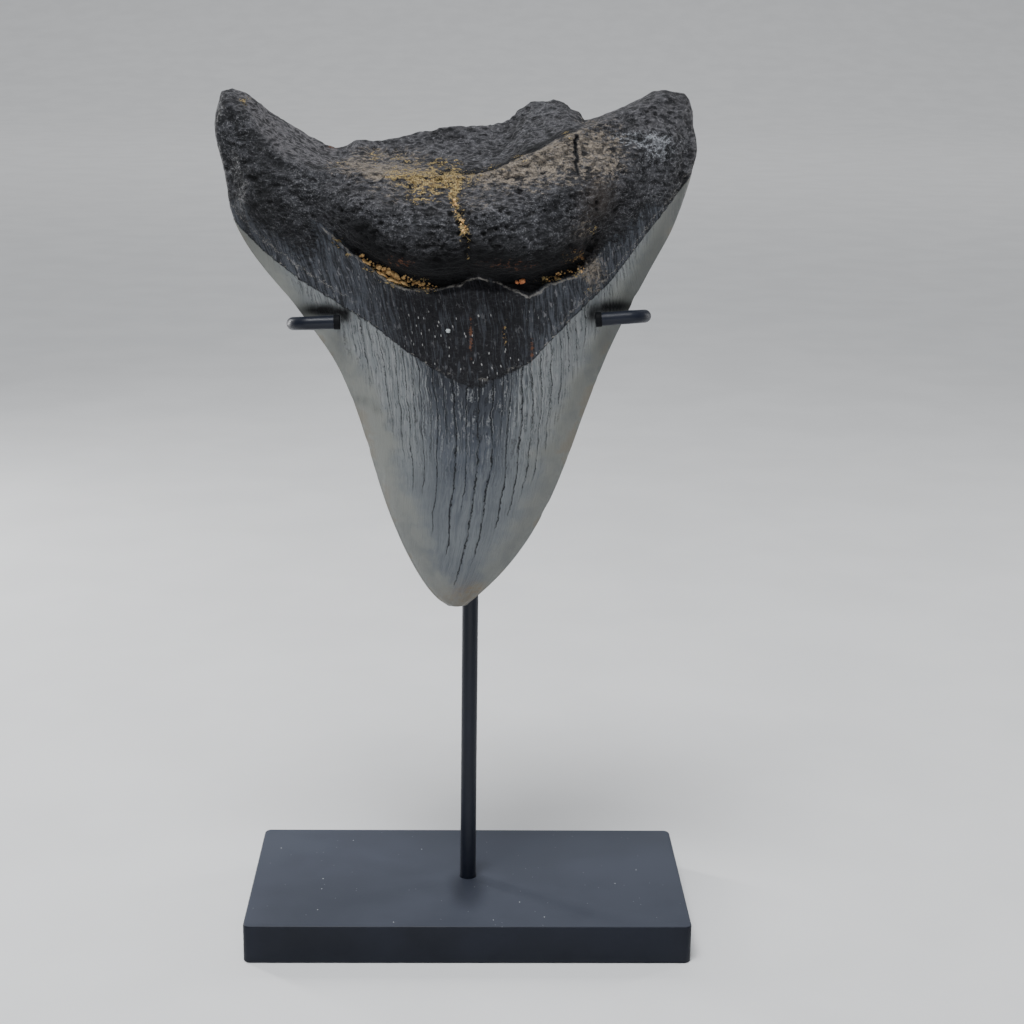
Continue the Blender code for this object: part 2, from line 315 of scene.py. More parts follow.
# %% Start a group
def start_group(name, inputs, outputs):
    """A node group with a vector and named numbers as inputs: the group and both of its ends."""
    group = bpy.data.node_groups.new(name, "ShaderNodeTree")
    group.interface.new_socket("Vector", in_out="INPUT", socket_type="NodeSocketVector")
    for socket_name, usual in inputs.items():
        socket = group.interface.new_socket(socket_name, in_out="INPUT", socket_type="NodeSocketFloat")
        socket.default_value = usual
    for socket_name in outputs:
        group.interface.new_socket(socket_name, in_out="OUTPUT", socket_type="NodeSocketFloat")
    outside = group.nodes.new("NodeGroupInput").outputs
    given = {socket.name: Value(socket) for socket in outside if socket.name}
    return group, given, group.nodes.new("NodeGroupOutput")


def use_group(tree, group, sockets):
    """The outputs of a group placed in a material's tree."""
    node = tree.nodes.new("ShaderNodeGroup")
    node.node_tree = group
    for key, value in sockets.items():
        fill_socket(node.inputs[key], value)
    return node.outputs


# %% The dots group
def build_dots_group():
    group, given, result = start_group(
        "dots", {"Cells per mm": 1.0, "Dot size": 0.2, "Share of cells": 0.1}, ["Mask"]
    )
    sockets = {"Vector": given["Vector"], "Scale": given["Cells per mm"] / MM}
    cells = add_node(group, "TexVoronoi", sockets, voronoi_dimensions="2D", feature="F1")
    pick = Value(add_node(group, "SeparateColor", {0: cells.outputs["Color"]}).outputs[0])
    size = given["Dot size"]
    dot = Value(cells.outputs["Distance"]).fade(size * 0.6, size, 1.0, 0.0)
    fill_socket(result.inputs["Mask"], dot * pick.math("LESS_THAN", given["Share of cells"]))
    return group


dots_group = build_dots_group()


def dots_at(tree, vector, per_mm, size, share):
    """Where dots lie: cells per mm, the dots' size in cells, and the share of cells that have one."""
    sockets = {"Vector": vector, "Cells per mm": per_mm, "Dot size": size, "Share of cells": share}
    return Value(use_group(tree, dots_group, sockets)["Mask"])


# %% The grain group
FINE_GRAIN = 3.3


def build_grain_group():
    group, given, result = start_group(
        "grain", {"Grains per mm": 1.0, "Fine share": 0.3, "Detail": 4.0}, ["Height", "Coarse"]
    )
    scale = given["Grains per mm"] / MM
    sockets = {"Vector": given["Vector"], "Detail": given["Detail"]}
    coarse, fine = (
        Value(add_node(group, "TexNoise", {**sockets, "Scale": size}).outputs[0])
        for size in (scale, scale * FINE_GRAIN)
    )
    fill_socket(result.inputs["Height"], fine * given["Fine share"] + coarse)
    fill_socket(result.inputs["Coarse"], coarse)
    return group


grain_group = build_grain_group()


def grain_at(tree, vector, per_mm, fine_share=0.3, detail=4.0):
    """The grain's height, and its coarse part alone."""
    sockets = {"Vector": vector, "Grains per mm": per_mm, "Fine share": fine_share, "Detail": detail}
    outputs = use_group(tree, grain_group, sockets)
    return Value(outputs["Height"]), Value(outputs["Coarse"])


print("groups:", dots_group.name, grain_group.name)

# %% [markdown]
# ## The floor's finish
#
# A pale floor can be one flat colour, but real studio paper is very slightly mottled. Two soft noises
# are enough.

# %% Give the floor its finish
PAPER_DARK = (0.79, 0.795, 0.80, 1.0)
PAPER_LIGHT = (0.83, 0.835, 0.84, 1.0)


def build_floor_paper():
    made, tree, place = start_material("studio_paper")
    mottle = grain_at(tree, place, 0.02)[1].fade(0.3, 0.7)
    return finish_material(made, layered(PAPER_DARK, (mottle, PAPER_LIGHT)), roughness=0.85, shine=0.2)


floor.data.materials.append(build_floor_paper())
print("the floor is", floor.data.materials[0].name)

# %% [markdown]
# ## The stand's paint
#
# The stand is steel with a blue-black satin paint. Paint is not one colour either: it is a little
# lighter where dust has settled on faces that look up, and the same film paints the sheen of the
# top, lighter towards the back, with a painted dark reflection of the rod in front of it. It is
# smoother where it was handled, and it has the fine orange-peel surface that spraying leaves. White
# specks of dust lie on the base.

# %% Mix the paint
PAINT_DARK = (0.0062, 0.0078, 0.0135, 1.0)
PAINT_LIGHT = (0.0105, 0.0130, 0.0215, 1.0)
DUST_AND_SHEEN = (0.064, 0.072, 0.095, 1.0)
WHITE_SPECK = (0.60, 0.62, 0.64, 1.0)
ROD_REFLECTION_OVAL = {"Location": (0.0, 3.2 * MM, 0.0), "Scale": (1.0, 0.42, 0.0)}


def build_paint(name, roughness, peel, dust, shine):
    """Satin blue-black paint. Peel is how deep its unevenness is, dust how much dust and painted sheen lie
    on it.
    """
    made, tree, place = start_material(name)
    cloud, soft_cloud = grain_at(tree, place, 0.035, 0.5)
    upward = axis_of(tree, add_node(tree, "NewGeometry").outputs["Normal"], "Z").fade(0.55, 1.0)

    # A film of dust on faces that look up, which also paints their sheen. It is thicker towards the back,
    # painted sheen, and thin in an oval in front of the rod, a painted dark reflection of the rod
    oval = add_node(tree, "Mapping", {"Vector": place, **ROD_REFLECTION_OVAL}).outputs[0]
    from_rod = Value(add_node(tree, "VectorMath", {0: oval}, operation="LENGTH").outputs["Value"])
    film = upward * cloud.fade(0.55, 0.95, 0.85 * dust, 1.02 * dust)
    film *= from_rod.fade(1.6 * MM, 6.5 * MM, 0.45, 1.0)
    film *= axis_of(tree, place, "Y").fade(-24 * MM, 24 * MM, 0.92, 1.18)

    large_dots = dots_at(tree, place, 0.16, 0.030, 0.12 * dust)
    small_dots = dots_at(tree, place, 0.6, 0.075, 0.035 * dust)
    specks = large_dots.or_more(small_dots * 0.4) * upward * 0.8
    colour = layered(
        PAINT_DARK, (cloud.fade(0.45, 1.0), PAINT_LIGHT), (film, DUST_AND_SHEEN), (specks, WHITE_SPECK)
    )
    satin = soft_cloud.fade(0.3, 0.7, roughness - 0.05, roughness + 0.06).or_more(film * 0.7)
    skin = grain_at(tree, place, 1.6, 0.35)[0]
    return finish_material(made, colour, satin, shine, bump=(skin, peel, 0.05))


base_paint = build_paint("base_paint", roughness=0.50, peel=0.35, dust=0.78, shine=0.20)
rod_paint = build_paint("rod_paint", roughness=0.37, peel=1.1, dust=0.02, shine=0.22)
print("paints:", base_paint.name, rod_paint.name)

# %% [markdown]
# ## The base
#
# The base is a flat block of steel with eased corners. It could be a cube with one Bevel modifier, but
# the real one has rounder upright corners than edges, so it is bevelled twice: first the four upright
# edges, then the rims. A shallow cylinder cuts the socket that the rod stands in.

# %% Model the base
base_low, base_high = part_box("base")
CORNER_ROUND = 1.7 * MM
RIM_ROUND = 0.45 * MM
ROD_RADIUS = 2.0 * MM
SOCKET_RADIUS = ROD_RADIUS + 0.12 * MM

bpy.ops.mesh.primitive_cube_add(size=1.0, location=(base_low + base_high) / 2)
base = bpy.context.object
base.scale = base_high - base_low
bpy.ops.object.transform_apply(location=False, rotation=False, scale=True)
bpy.ops.object.mode_set(mode="EDIT")
bevel_edges(base, CORNER_ROUND, 6, lambda e: abs(e.verts[0].co.z - e.verts[1].co.z) > 1 * MM)
bevel_edges(
    base,
    RIM_ROUND,
    3,
    lambda e: abs(e.verts[0].co.z - e.verts[1].co.z) < 1e-6
    and any(abs(f.normal.z) > 0.9 for f in e.link_faces)
    and any(abs(f.normal.z) < 0.1 for f in e.link_faces),
)
bpy.ops.object.mode_set(mode="OBJECT")
print("the base is", [round(side / MM, 1) for side in base_high - base_low], "mm")

# %% Cut the socket and smooth the base
SOCKET_DEPTH = 6.0 * MM
bpy.ops.mesh.primitive_cylinder_add(
    vertices=64, radius=SOCKET_RADIUS, depth=2 * SOCKET_DEPTH, location=(0.0, 0.0, base_high.z)
)
socket_cutter = bpy.context.object
only(base)
cut = base.modifiers.new("socket", "BOOLEAN")
cut.object = socket_cutter
bpy.ops.object.modifier_apply(modifier=cut.name)
bpy.data.objects.remove(socket_cutter)
only(base)
bpy.ops.object.shade_smooth_by_angle(angle=math.radians(40))
settle(base, "base_block", base_paint)
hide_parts("base")

# %% [markdown]
# ## The upright rod
#
# The rod is a cylinder from inside the socket to just behind the tooth. Its top rim is bevelled, which
# a saw cut that has been filed smooth would show.

# %% Model the upright rod
ROD_RIM = 0.35 * MM
rod_low, rod_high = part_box("post")
half_length = (rod_high.z - rod_low.z) / 2
bpy.ops.mesh.primitive_cylinder_add(
    vertices=72,
    radius=ROD_RADIUS,
    depth=2 * half_length,
    location=(0.0, 0.0, (rod_low.z + rod_high.z) / 2),
)
rod = bpy.context.object
bpy.ops.object.mode_set(mode="EDIT")
bevel_edges(rod, ROD_RIM, 3, lambda e: all(v.co.z > half_length - 1e-6 for v in e.verts))
bpy.ops.object.mode_set(mode="OBJECT")
bpy.ops.object.shade_smooth_by_angle(angle=math.radians(50))
settle(rod, "upright_rod", rod_paint)
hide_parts("post")

# %% [markdown]
# ## The wire arms
#
# Each arm is one wire: out from the rod, round the edge of the tooth and in over its face, where it is
# cut square and dipped in black sealant, so that steel doesn't scratch enamel. A wire could be
# extruded ring by ring. A curve with a bevel depth is quicker and keeps its section round in the
# bends. The bends are true arcs, as on wire bent round a former, so the route's corners are rounded in
# code. The curve's point radius makes the wire swell into its brazed joint at the rod, and a little
# where the sealant sits.

# %% Route the wires
WIRE_RADIUS = 1.55
BEND_RADIUS = 4.2
BEND_STEPS = 14
JOINT_SWELL = 1.5
JOINT_LENGTH = 2.2
DIP_LENGTH = 1.35
DIP_SWELL = 1.10
DIP_EDGE = 0.15
WIRE_ROUTES = {
    "left_arm": [(-1.3, 0.1, 153.4), (-41.8, -0.6, 153.7), (-41.8, -12.3, 155.6), (-30.7, -12.3, 156.1)],
    "right_arm": [(1.3, 0.1, 155.2), (40.1, -0.6, 156.2), (40.1, -12.0, 158.2), (28.4, -12.0, 157.2)],
}


def rounded_route(corners):
    """The route's points, with an arc at each inner corner."""
    corners = [Vector(corner) for corner in corners]
    route = [corners[0]]
    for before, corner, after in zip(corners, corners[1:], corners[2:]):
        back = (before - corner).normalized()
        on = (after - corner).normalized()
        half_angle = back.angle(on) / 2
        centre = corner + (back + on).normalized() * (BEND_RADIUS / math.sin(half_angle))
        reach = BEND_RADIUS / math.tan(half_angle)
        start = corner + back * reach - centre
        end = corner + on * reach - centre
        turn = start.rotation_difference(end)
        for step in range(BEND_STEPS + 1):
            part_turn = turn.copy()
            part_turn.angle = turn.angle * step / BEND_STEPS
            route.append(centre + part_turn @ start)
    route.append(corners[-1])
    return route


# %% The joint and the dipped end
def joint_points(start, toward):
    """Points and radius factors where the wire flares into its joint with the rod."""
    direction = (toward - start).normalized()
    flare = lambda share: 1.0 + (JOINT_SWELL - 1.0) * (1.0 - share) ** 2.2
    shares = np.linspace(0.0, 1.0, 9)
    return [(start + direction * JOINT_LENGTH * share, flare(share)) for share in shares]


def dipped_points(before, end):
    """Points and radius factors of the sealant at the wire's end."""
    back = (before - end).normalized()
    lengths = (DIP_LENGTH + 0.02, DIP_LENGTH, DIP_LENGTH - DIP_EDGE, 0.0)
    factors = (1.0, DIP_SWELL - 0.03, DIP_SWELL, DIP_SWELL)
    return [(end + back * length, factor) for length, factor in zip(lengths, factors)]


print("points on the routes:", [len(rounded_route(corners)) for corners in WIRE_ROUTES.values()])

# %% Mix the sealant
SEALANT_DARK = (0.0020, 0.0023, 0.003, 1.0)
SEALANT_LIGHT = (0.006, 0.0065, 0.008, 1.0)


def build_sealant():
    """Dull black sealant on the ends of the wires."""
    made, tree, place = start_material("black_sealant")
    height, coarse = grain_at(tree, place, 1.2, 0.4)
    colour = layered(SEALANT_DARK, (height.fade(0.4, 1.0), SEALANT_LIGHT))
    return finish_material(made, colour, coarse.fade(0.3, 0.7, 0.6, 0.75), 0.10, bump=(height, 0.4, 0.06))


sealant = build_sealant()
print("the wires' ends are dipped in", sealant.name)


# %% A wire from a curve
def wire_mesh(name, points):
    """A mesh wire through points with radius factors, made from a curve with a bevel."""
    curve = bpy.data.curves.new(name, "CURVE")
    curve.dimensions = "3D"
    curve.bevel_depth = WIRE_RADIUS * MM
    curve.bevel_resolution = 8
    curve.use_fill_caps = True
    spline = curve.splines.new("POLY")
    spline.points.add(len(points) - 1)
    for spot, (position, factor) in zip(spline.points, points):
        spot.co = (*(position * MM), 1.0)
        spot.radius = factor
    wire = bpy.data.objects.new(name, curve)
    bpy.context.scene.collection.objects.link(wire)
    only(wire)
    bpy.ops.object.convert(target="MESH")
    return bpy.context.object


# %% Bend the wires
END_ROUND = 0.45


def bend_wire(node, corners):
    """One arm: a bent wire with its dipped end eased and coloured."""
    route = rounded_route(corners)
    points = joint_points(route[0], route[1]) + [(point, 1.0) for point in route[1:-1]]
    wire = wire_mesh(node, points + dipped_points(route[-2], route[-1]))
    tip = Vector(corners[-1]) * MM
    near_tip = lambda place: (place - tip).length < 2 * WIRE_RADIUS * MM
    is_rim = lambda edge: len(edge.link_faces) == 2 and any(len(face.verts) > 4 for face in edge.link_faces)
    bpy.ops.object.mode_set(mode="EDIT")
    bpy.ops.mesh.select_all(action="SELECT")
    bpy.ops.mesh.remove_doubles(threshold=0.005 * MM)
    bevel_edges(wire, END_ROUND * MM, 5, lambda edge: is_rim(edge) and near_tip(edge.verts[0].co))
    bpy.ops.mesh.select_all(action="SELECT")
    bpy.ops.mesh.normals_make_consistent(inside=False)
    bpy.ops.object.mode_set(mode="OBJECT")
    bpy.ops.object.shade_smooth_by_angle(angle=math.radians(50))
    settle(wire, node + "_wire", rod_paint, sealant)
    inward = (Vector(corners[-2]) * MM - tip).normalized()
    for face in wire.data.polygons:
        dipped = near_tip(face.center) and (face.center - tip).dot(inward) < (DIP_LENGTH + 0.01) * MM
        face.material_index = int(dipped)
    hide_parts(node)


for node, corners in WIRE_ROUTES.items():
    bend_wire(node, corners)


# %% [markdown]
# ## Finding the way on the tooth
#
# Everything on the tooth is placed by where it is on the tooth: so far across, so far up from the tip,
# and so far in front of or behind the plane of its cutting edges. The tooth leans back a little, so
# these three numbers come from the world place by one turn. All of them are in millimetres.

# %% Places on the tooth
TOOTH_TIP = np.array((0.0, -11.4, 86.9))
TOOTH_LEAN = math.radians(4.0)


def places_on_tooth(points):
    """Across, up and deep in mm, for an array of points in metres. Deep is negative on the front."""
    away = points / MM - TOOTH_TIP
    up = away[:, 1] * math.sin(TOOTH_LEAN) + away[:, 2] * math.cos(TOOTH_LEAN)
    deep = away[:, 1] * math.cos(TOOTH_LEAN) - away[:, 2] * math.sin(TOOTH_LEAN)
    return away[:, 0], up, deep


def world_point(across, up, deep):
    """The point in metres of a place on the tooth."""
    y = deep * math.cos(TOOTH_LEAN) + up * math.sin(TOOTH_LEAN)
    z = up * math.cos(TOOTH_LEAN) - deep * math.sin(TOOTH_LEAN)
    return Vector((across, y, z)) * MM + Vector(TOOTH_TIP) * MM


def read_vectors(items, attribute):
    """An array with a row of three numbers for each item."""
    numbers = np.empty(len(items) * 3)
    items.foreach_get(attribute, numbers)
    return numbers.reshape(-1, 3)


def step(low, high, value):
    """A smooth step of an array."""
    share = np.clip((value - low) / (high - low), 0.0, 1.0)
    return share * share * (3.0 - 2.0 * share)


def mound(value, half_width):
    """1 at zero, falling away to nothing past about twice the half width."""
    return np.exp(-((value / half_width) ** 2))


print("the tip is at", [round(value, 4) for value in world_point(0.0, 0.0, 0.0)])

# %% The tooth's two outlines, read from the solid
cad_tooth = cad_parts["tooth"]
cad_across, cad_up, _ = places_on_tooth(read_vectors(cad_tooth.data.vertices, "co"))
OUTLINE_STEP = 2.6
outline_up = np.arange(0.0, cad_up.max(), OUTLINE_STEP)
near_level = [np.abs(cad_up - level) < OUTLINE_STEP for level in outline_up]
outline_left = np.array([cad_across[near].min() for near in near_level])
outline_right = np.array([cad_across[near].max() for near in near_level])
widest = float((outline_right - outline_left).max())
print("outline read at", len(outline_up), "levels; the tooth is", round(widest, 1), "mm wide")

# %% [markdown]
# ## Where the surfaces of the tooth meet
#
# Three surfaces meet on the front. The root is on top. Below the ledge of its swelling comes a dark
# band of thin root, pointed like a V, and below that the enamel of the crown. On the back the band is
# missing and the enamel meets the root in a shallow curve. Each border is a line of places, across and
# up. The masks that the material needs are distances from these lines, because a distance stays
# smooth between the mesh's points where a mask would look stepped.

# %% Draw the borders
LIP_LINE = [
    (-38, 93.5), (-32.2, 89.4), (-28.1, 85.7), (-24.7, 83.0), (-21.2, 80.4), (-17.8, 78.5), (-14.4, 77.4),
    (-7.6, 77.5), (-3.0, 78.7), (-0.8, 79.8), (1.5, 80.3), (3.8, 79.6), (8.3, 77.9), (10.6, 77.2),
    (12.9, 75.8), (16.3, 78.3), (23.2, 80.6), (26.8, 82.4), (31, 88), (36, 94),
]  # fmt: skip
ENAMEL_EDGE = [
    (-58, 95.0), (-53.8, 90.4), (-48.8, 85.2), (-40.1, 78.5), (-29.6, 72.4), (-23.7, 69.2), (-16.7, 64.0),
    (-9.8, 59.5), (-4.0, 56.6), (0.6, 55.3), (6.3, 57.4), (13.2, 60.5), (16.6, 64.2), (23.5, 71.2),
    (31.7, 78.9), (35.1, 83.3), (41.7, 92.6), (49.3, 102.6), (51, 105),
]  # fmt: skip
BACK_EDGE = [
    (-58, 95.0), (-53.8, 90.4), (-45, 85.5), (-33, 81.5), (-18, 78.0), (-3, 76.4), (12, 78.2), (27, 83.0),
    (38, 89.5), (46, 97.5), (51, 105),
]  # fmt: skip
LEFT_CREST = [(-58, 124), (-51.8, 117.0), (-47.9, 110.4), (-42.6, 105.6), (-37.0, 103.9), (-28, 103.9)]


def line_at(line, across):
    """How far up a border is, at places across."""
    xs, ups = zip(*line)
    return np.interp(across, xs, ups)


def enamel_edge(across, is_front):
    """How far up the enamel reaches, on the side that each place is on."""
    return np.where(is_front, line_at(ENAMEL_EDGE, across), line_at(BACK_EDGE, across))


print("points of the borders:", len(LIP_LINE), len(ENAMEL_EDGE), len(BACK_EDGE), len(LEFT_CREST))

# %% [markdown]
# ## The tooth's mesh
#
# A rough natural surface can be built by remeshing into small cubes, or by dividing the quads of a
# clean mesh. Dividing keeps the rows of quads along the ledges and edges, so ridges stay crisp. The
# solid's mesh is loose triangles: its copy is merged, its triangles are paired into quads again, and
# two rounds of subdivision round off its facets. Rounding also draws ridges in. On the smooth crown
# that is wanted, but the root would lose height, so its points are set back on the solid's surface.

# %% Copy the solid and divide it
tooth = bpy.data.objects.new("fossil_tooth", cad_tooth.data.copy())
bpy.context.scene.collection.objects.link(tooth)
only(tooth)
bpy.ops.mesh.customdata_custom_splitnormals_clear()
bpy.ops.object.mode_set(mode="EDIT")
bpy.ops.mesh.select_all(action="SELECT")
bpy.ops.mesh.remove_doubles(threshold=0.002 * MM)
bpy.ops.mesh.tris_convert_to_quads(face_threshold=math.radians(80), shape_threshold=math.radians(80))
bpy.ops.object.mode_set(mode="OBJECT")
quads = sum(len(face.vertices) == 4 for face in tooth.data.polygons)
print("paired into", quads, "quads of", len(tooth.data.polygons), "faces")
smoother = tooth.modifiers.new("round_off", "SUBSURF")
smoother.levels = 2
smoother.render_levels = 2
bpy.ops.object.modifier_apply(modifier=smoother.name)
print("divided into", len(tooth.data.polygons), "faces")

# %% Set the root back on the solid's surface
solid_surface = BVHTree.FromObject(cad_tooth, bpy.context.evaluated_depsgraph_get())
divided = read_vectors(tooth.data.vertices, "co")
across, up, _ = places_on_tooth(divided)
nearest = np.array([solid_surface.find_nearest(Vector(point))[0] for point in divided])
facing_front = read_vectors(tooth.data.vertex_normals, "vector")[:, 1] < 0.0
hold = step(1.0, 6.0, up - enamel_edge(across, facing_front))[:, None]
drawn_in = np.linalg.norm(nearest - divided, axis=1).max() / MM
tooth.data.vertices.foreach_set("co", (divided * (1 - hold) + nearest * hold).ravel())
tooth.data.update()
print("subdivision had drawn the ridges in by up to", round(float(drawn_in), 2), "mm")

# %% Noise over the whole mesh
NOISE_KINDS = {
    "plain": lambda place, octaves: noise.noise(place),
    "fractal": lambda place, octaves: noise.fractal(place, 0.9, 2.1, octaves),
    "ridges": lambda place, octaves: noise.ridged_multi_fractal(place, 0.9, 2.1, octaves, 1.0, 2.0) - 1.0,
}


def noise_over(points, size, kind="plain", octaves=3):
    """Noise at each point, from about -1 to 1, with lumps of a size in mm."""
    read = NOISE_KINDS[kind]
    return np.fromiter((read(Vector(place), octaves) for place in points / size), float, len(points))


print("kinds of noise:", *NOISE_KINDS)

# %% [markdown]
# ## The cracks of the enamel
#
# Fossil enamel splits along its length. The splits run side by side, a couple of millimetres apart,
# draw together towards the tip and follow its bend. The outer ones are short and the middle ones reach
# almost to the tip. Each could be drawn point by point. Here one rule bends them all: a crack keeps its
# number along a bundle of lines that gathers towards the tip, and a short list says where in the
# bundle each crack lies, how far down it ends and how strong it is. The mesh and the material both
# read the same coordinate, so the groove and its colour agree.

# %% The bundle of cracks
CRACKS = [
    (-31.0, 60.0, 0.25), (-28.6, 58.0, 0.35), (-26.6, 52.0, 0.60), (-24.8, 55.0, 0.40), (-22.8, 46.0, 0.70),
    (-21.3, 50.0, 0.35), (-19.7, 36.0, 0.75), (-17.7, 29.0, 0.80), (-16.2, 40.0, 0.40), (-14.8, 26.0, 0.75),
    (-13.0, 36.0, 0.40), (-11.4, 18.0, 0.95), (-9.2, 43.0, 0.60), (-6.7, 12.5, 0.95), (-3.9, 24.0, 0.50),
    (-1.1, 4.5, 0.90), (2.3, 11.0, 1.00), (4.4, 40.0, 0.35), (6.4, 18.0, 0.85), (9.3, 22.0, 0.75),
    (11.6, 26.0, 0.65), (13.8, 30.0, 0.65), (16.0, 38.0, 0.60), (18.0, 48.0, 0.55), (20.0, 54.0, 0.50),
    (22.1, 58.0, 0.45), (24.2, 62.0, 0.40), (26.4, 66.0, 0.35), (28.6, 70.0, 0.30),
]  # fmt: skip
CRACK_SPACING = 2.05
BUNDLE_LEVEL = 60.0
GATHERING = 0.18
crack_places, crack_ends, crack_strengths = (np.array(column) for column in zip(*CRACKS))


def bundle_at(across, up):
    """Where in the bundle a place lies, in mm as measured at the bundle's level."""
    bend = -3.93 + 0.2738 * up - 0.002887 * up**2 - 2.2 * np.exp(-up / 7.0)
    return (across - bend) / (np.maximum(up, 1.0) / BUNDLE_LEVEL) ** GATHERING


def lane_at(across, up):
    """The crack's number, with fractions between the cracks, which wander a little."""
    level = np.column_stack((across, np.zeros(len(across)), 0.6 * up))
    drift = 0.75 * noise_over(level, 6.0) + 0.35 * noise_over(level + 20.0, 2.0)
    place = bundle_at(across, up) + drift * step(2.0, 16.0, up)
    inside = np.interp(place, crack_places, np.arange(len(CRACKS)))
    outside = np.minimum(place - crack_places[0], 0.0) + np.maximum(place - crack_places[-1], 0.0)
    return inside + outside / CRACK_SPACING


def crack_reach(lane, up, below_edge):
    """How strong the nearest crack is at a level: 0 past its end."""
    number = np.clip(np.rint(lane), 0, len(CRACKS) - 1).astype(int)
    known = (lane > -0.5) & (lane < len(CRACKS) - 0.5)
    end = crack_ends[number]
    return known * crack_strengths[number] * step(end - 1.0, end + 7.0, up) * step(-0.6, 0.8, below_edge)


def crack_closeness(lane, reach):
    """0 away from a crack, 1 in the middle of it."""
    aside = np.abs(lane - np.rint(lane)) * CRACK_SPACING
    return np.clip(1.0 - aside / (0.24 + 0.14 * reach), 0.0, 1.0) * reach


print("listed cracks:", len(CRACKS))

# %% Find every point's place
SWELLING_MIDDLE = -2.0


def survey(mesh):
    """Each point of the tooth: where it is, which way it faces, and how far it is from the borders."""
    points = read_vectors(mesh.vertices, "co")
    normals = read_vectors(mesh.vertex_normals, "vector")
    across, up, deep = places_on_tooth(points)
    in_front = step(-0.25, 0.25, -normals[:, 1])
    return SimpleNamespace(
        points=points,
        normals=normals,
        across=across,
        up=up,
        deep=deep,
        in_front=in_front,
        below_edge=enamel_edge(across, in_front > 0.5) - up,
        above_lip=up - line_at(LIP_LINE, across),
        from_middle=np.abs(across - SWELLING_MIDDLE),
        lane=lane_at(across, up),
    )


# %% Divide again where the surface changes quickly
found = survey(tooth.data)
busy = crack_closeness(found.lane, crack_reach(found.lane, found.up, found.below_edge)) > 0.0
busy |= (found.above_lip > -1.4) & (found.above_lip < 19.0) & (found.from_middle < 30)
busy |= np.abs(found.below_edge) < 0.4
busy &= found.in_front > 0.6
bpy.ops.object.mode_set(mode="EDIT")
split = select_in_edit(tooth, "faces", lambda face: sum(busy[v.index] for v in face.verts) >= 2)
bpy.ops.mesh.subdivide(number_cuts=1, smoothness=0.0)
bpy.ops.object.mode_set(mode="OBJECT")
print("divided", split, "busy faces again:", len(tooth.data.polygons), "faces")

# %% [markdown]
# ## The relief of the tooth
#
# The fine surface is made by moving each point of the mesh in or out along its normal. Texture
# modifiers could do it, but they know nothing of lips and borders. Here every form is one line: how
# high it is, and where. Noise of several sizes roughens the bone, pits are punched in it, and the
# cracks are pressed into the enamel.

# %% Share the surface between enamel, band and bone
found = survey(tooth.data)
points, normals, in_front = found.points, found.normals, found.in_front
across, up, deep, from_middle = found.across, found.up, found.deep, found.from_middle
below_edge, above_lip, lane = found.below_edge, found.above_lip, found.lane
spots = np.column_stack((across, deep, up))
enamel = step(-0.15, 0.15, below_edge)
under_swelling = step(38.0, 30.0, from_middle)
front_bone = under_swelling * step(0.0, 0.8, above_lip) + (1 - under_swelling) * step(1.0, 13.0, -below_edge)
bony = np.where(in_front > 0.5, front_bone, 1.0) * step(0.0, 0.5, -below_edge)
bony = np.maximum(bony, step(95.0, 98.0, up) * (1 - enamel))
band = (1 - enamel) * (1 - bony)
print("points on enamel", int(enamel.sum()), "on the band", int(band.sum()), "on bone", int(bony.sum()))

# %% Rough bone
along_grain = spots * np.array((0.6, 1.0, 1.0))
lumps = noise_over(spots, 6.0, "fractal", 2)
knobs = noise_over(along_grain + 9.0, 3.4, "ridges", 2)
fibres = noise_over(along_grain, 1.6, "ridges", 3)
pores = noise_over(spots + 40.0, 0.9, "fractal", 3)
edge_distance = np.minimum(
    across - np.interp(up, outline_up, outline_left), np.interp(up, outline_up, outline_right) - across
)
lobes = step(24.0, 38.0, from_middle)
rims = np.maximum(mound(edge_distance, 2.2), 0.6 * step(0.35, 0.85, normals[:, 2]))
worn_cheek = mound(across - 15, 11.0) * mound(up - 88, 6.0) * in_front
groove_wall = step(8.0, 3.0, above_lip) * step(34.0, 28.0, from_middle) * in_front
calm = (1 - 0.7 * worn_cheek) * (1 - 0.6 * groove_wall) * (1 - 0.75 * rims)
knobs -= knobs.mean()
fibres -= fibres.mean()
LUMP_MM, KNOB_MM, FIBRE_MM, PORE_MM = 0.42, 0.60, 0.44, 0.24
relief = LUMP_MM * lumps + (KNOB_MM - 0.34 * lobes) * knobs + (FIBRE_MM - 0.16 * lobes) * fibres
relief += PORE_MM * pores
relief *= bony * calm
bone_height = np.clip(0.55 + 0.6 * (0.9 * knobs + 0.6 * fibres + 0.5 * pores), 0.0, 1.0)
print("rough bone: mean", round(float(relief.mean()), 3), "spread", round(float(relief.std()), 3), "mm")

# %% The knob on the rear ridge
KNOB_ACROSS, KNOB_HALF_WIDTH, KNOB_HEIGHT = -26.3, 3.4, 0.6
near_knob = np.abs(across - KNOB_ACROSS) < 1.5
ridge_up = float(up[near_knob].max())
relief += KNOB_HEIGHT * mound(across - KNOB_ACROSS, KNOB_HALF_WIDTH) * mound(up - ridge_up, 3.5)
print("the rear ridge is", round(ridge_up, 1), "mm up; bone height is", round(float(bone_height.mean()), 2))

# %% Pits and the split in the root
PITS = [
    (10.2, 99.7, 0.75, 0.9), (5.7, 95.4, 0.5, 0.6), (-2.6, 94.7, 0.6, 0.7), (-14.0, 100.2, 0.5, 0.5),
    (27.5, 95.5, 0.5, 0.5), (-24.0, 97.5, 0.5, 0.5), (15.5, 103.5, 0.5, 0.5), (33.5, 104.0, 0.5, 0.4),
    (-5.2, 94.4, 0.7, 0.9), (-3.4, 92.6, 0.7, 0.9), (-1.4, 94.8, 0.5, 0.7), (-3.2, 90.2, 0.5, 0.7),
]  # fmt: skip
SCATTERED_PITS = 260
chooser = np.random.default_rng(7)
bone_points = np.flatnonzero((bony > 0.9) & (up > 84))
pit_depth = np.zeros(len(points))


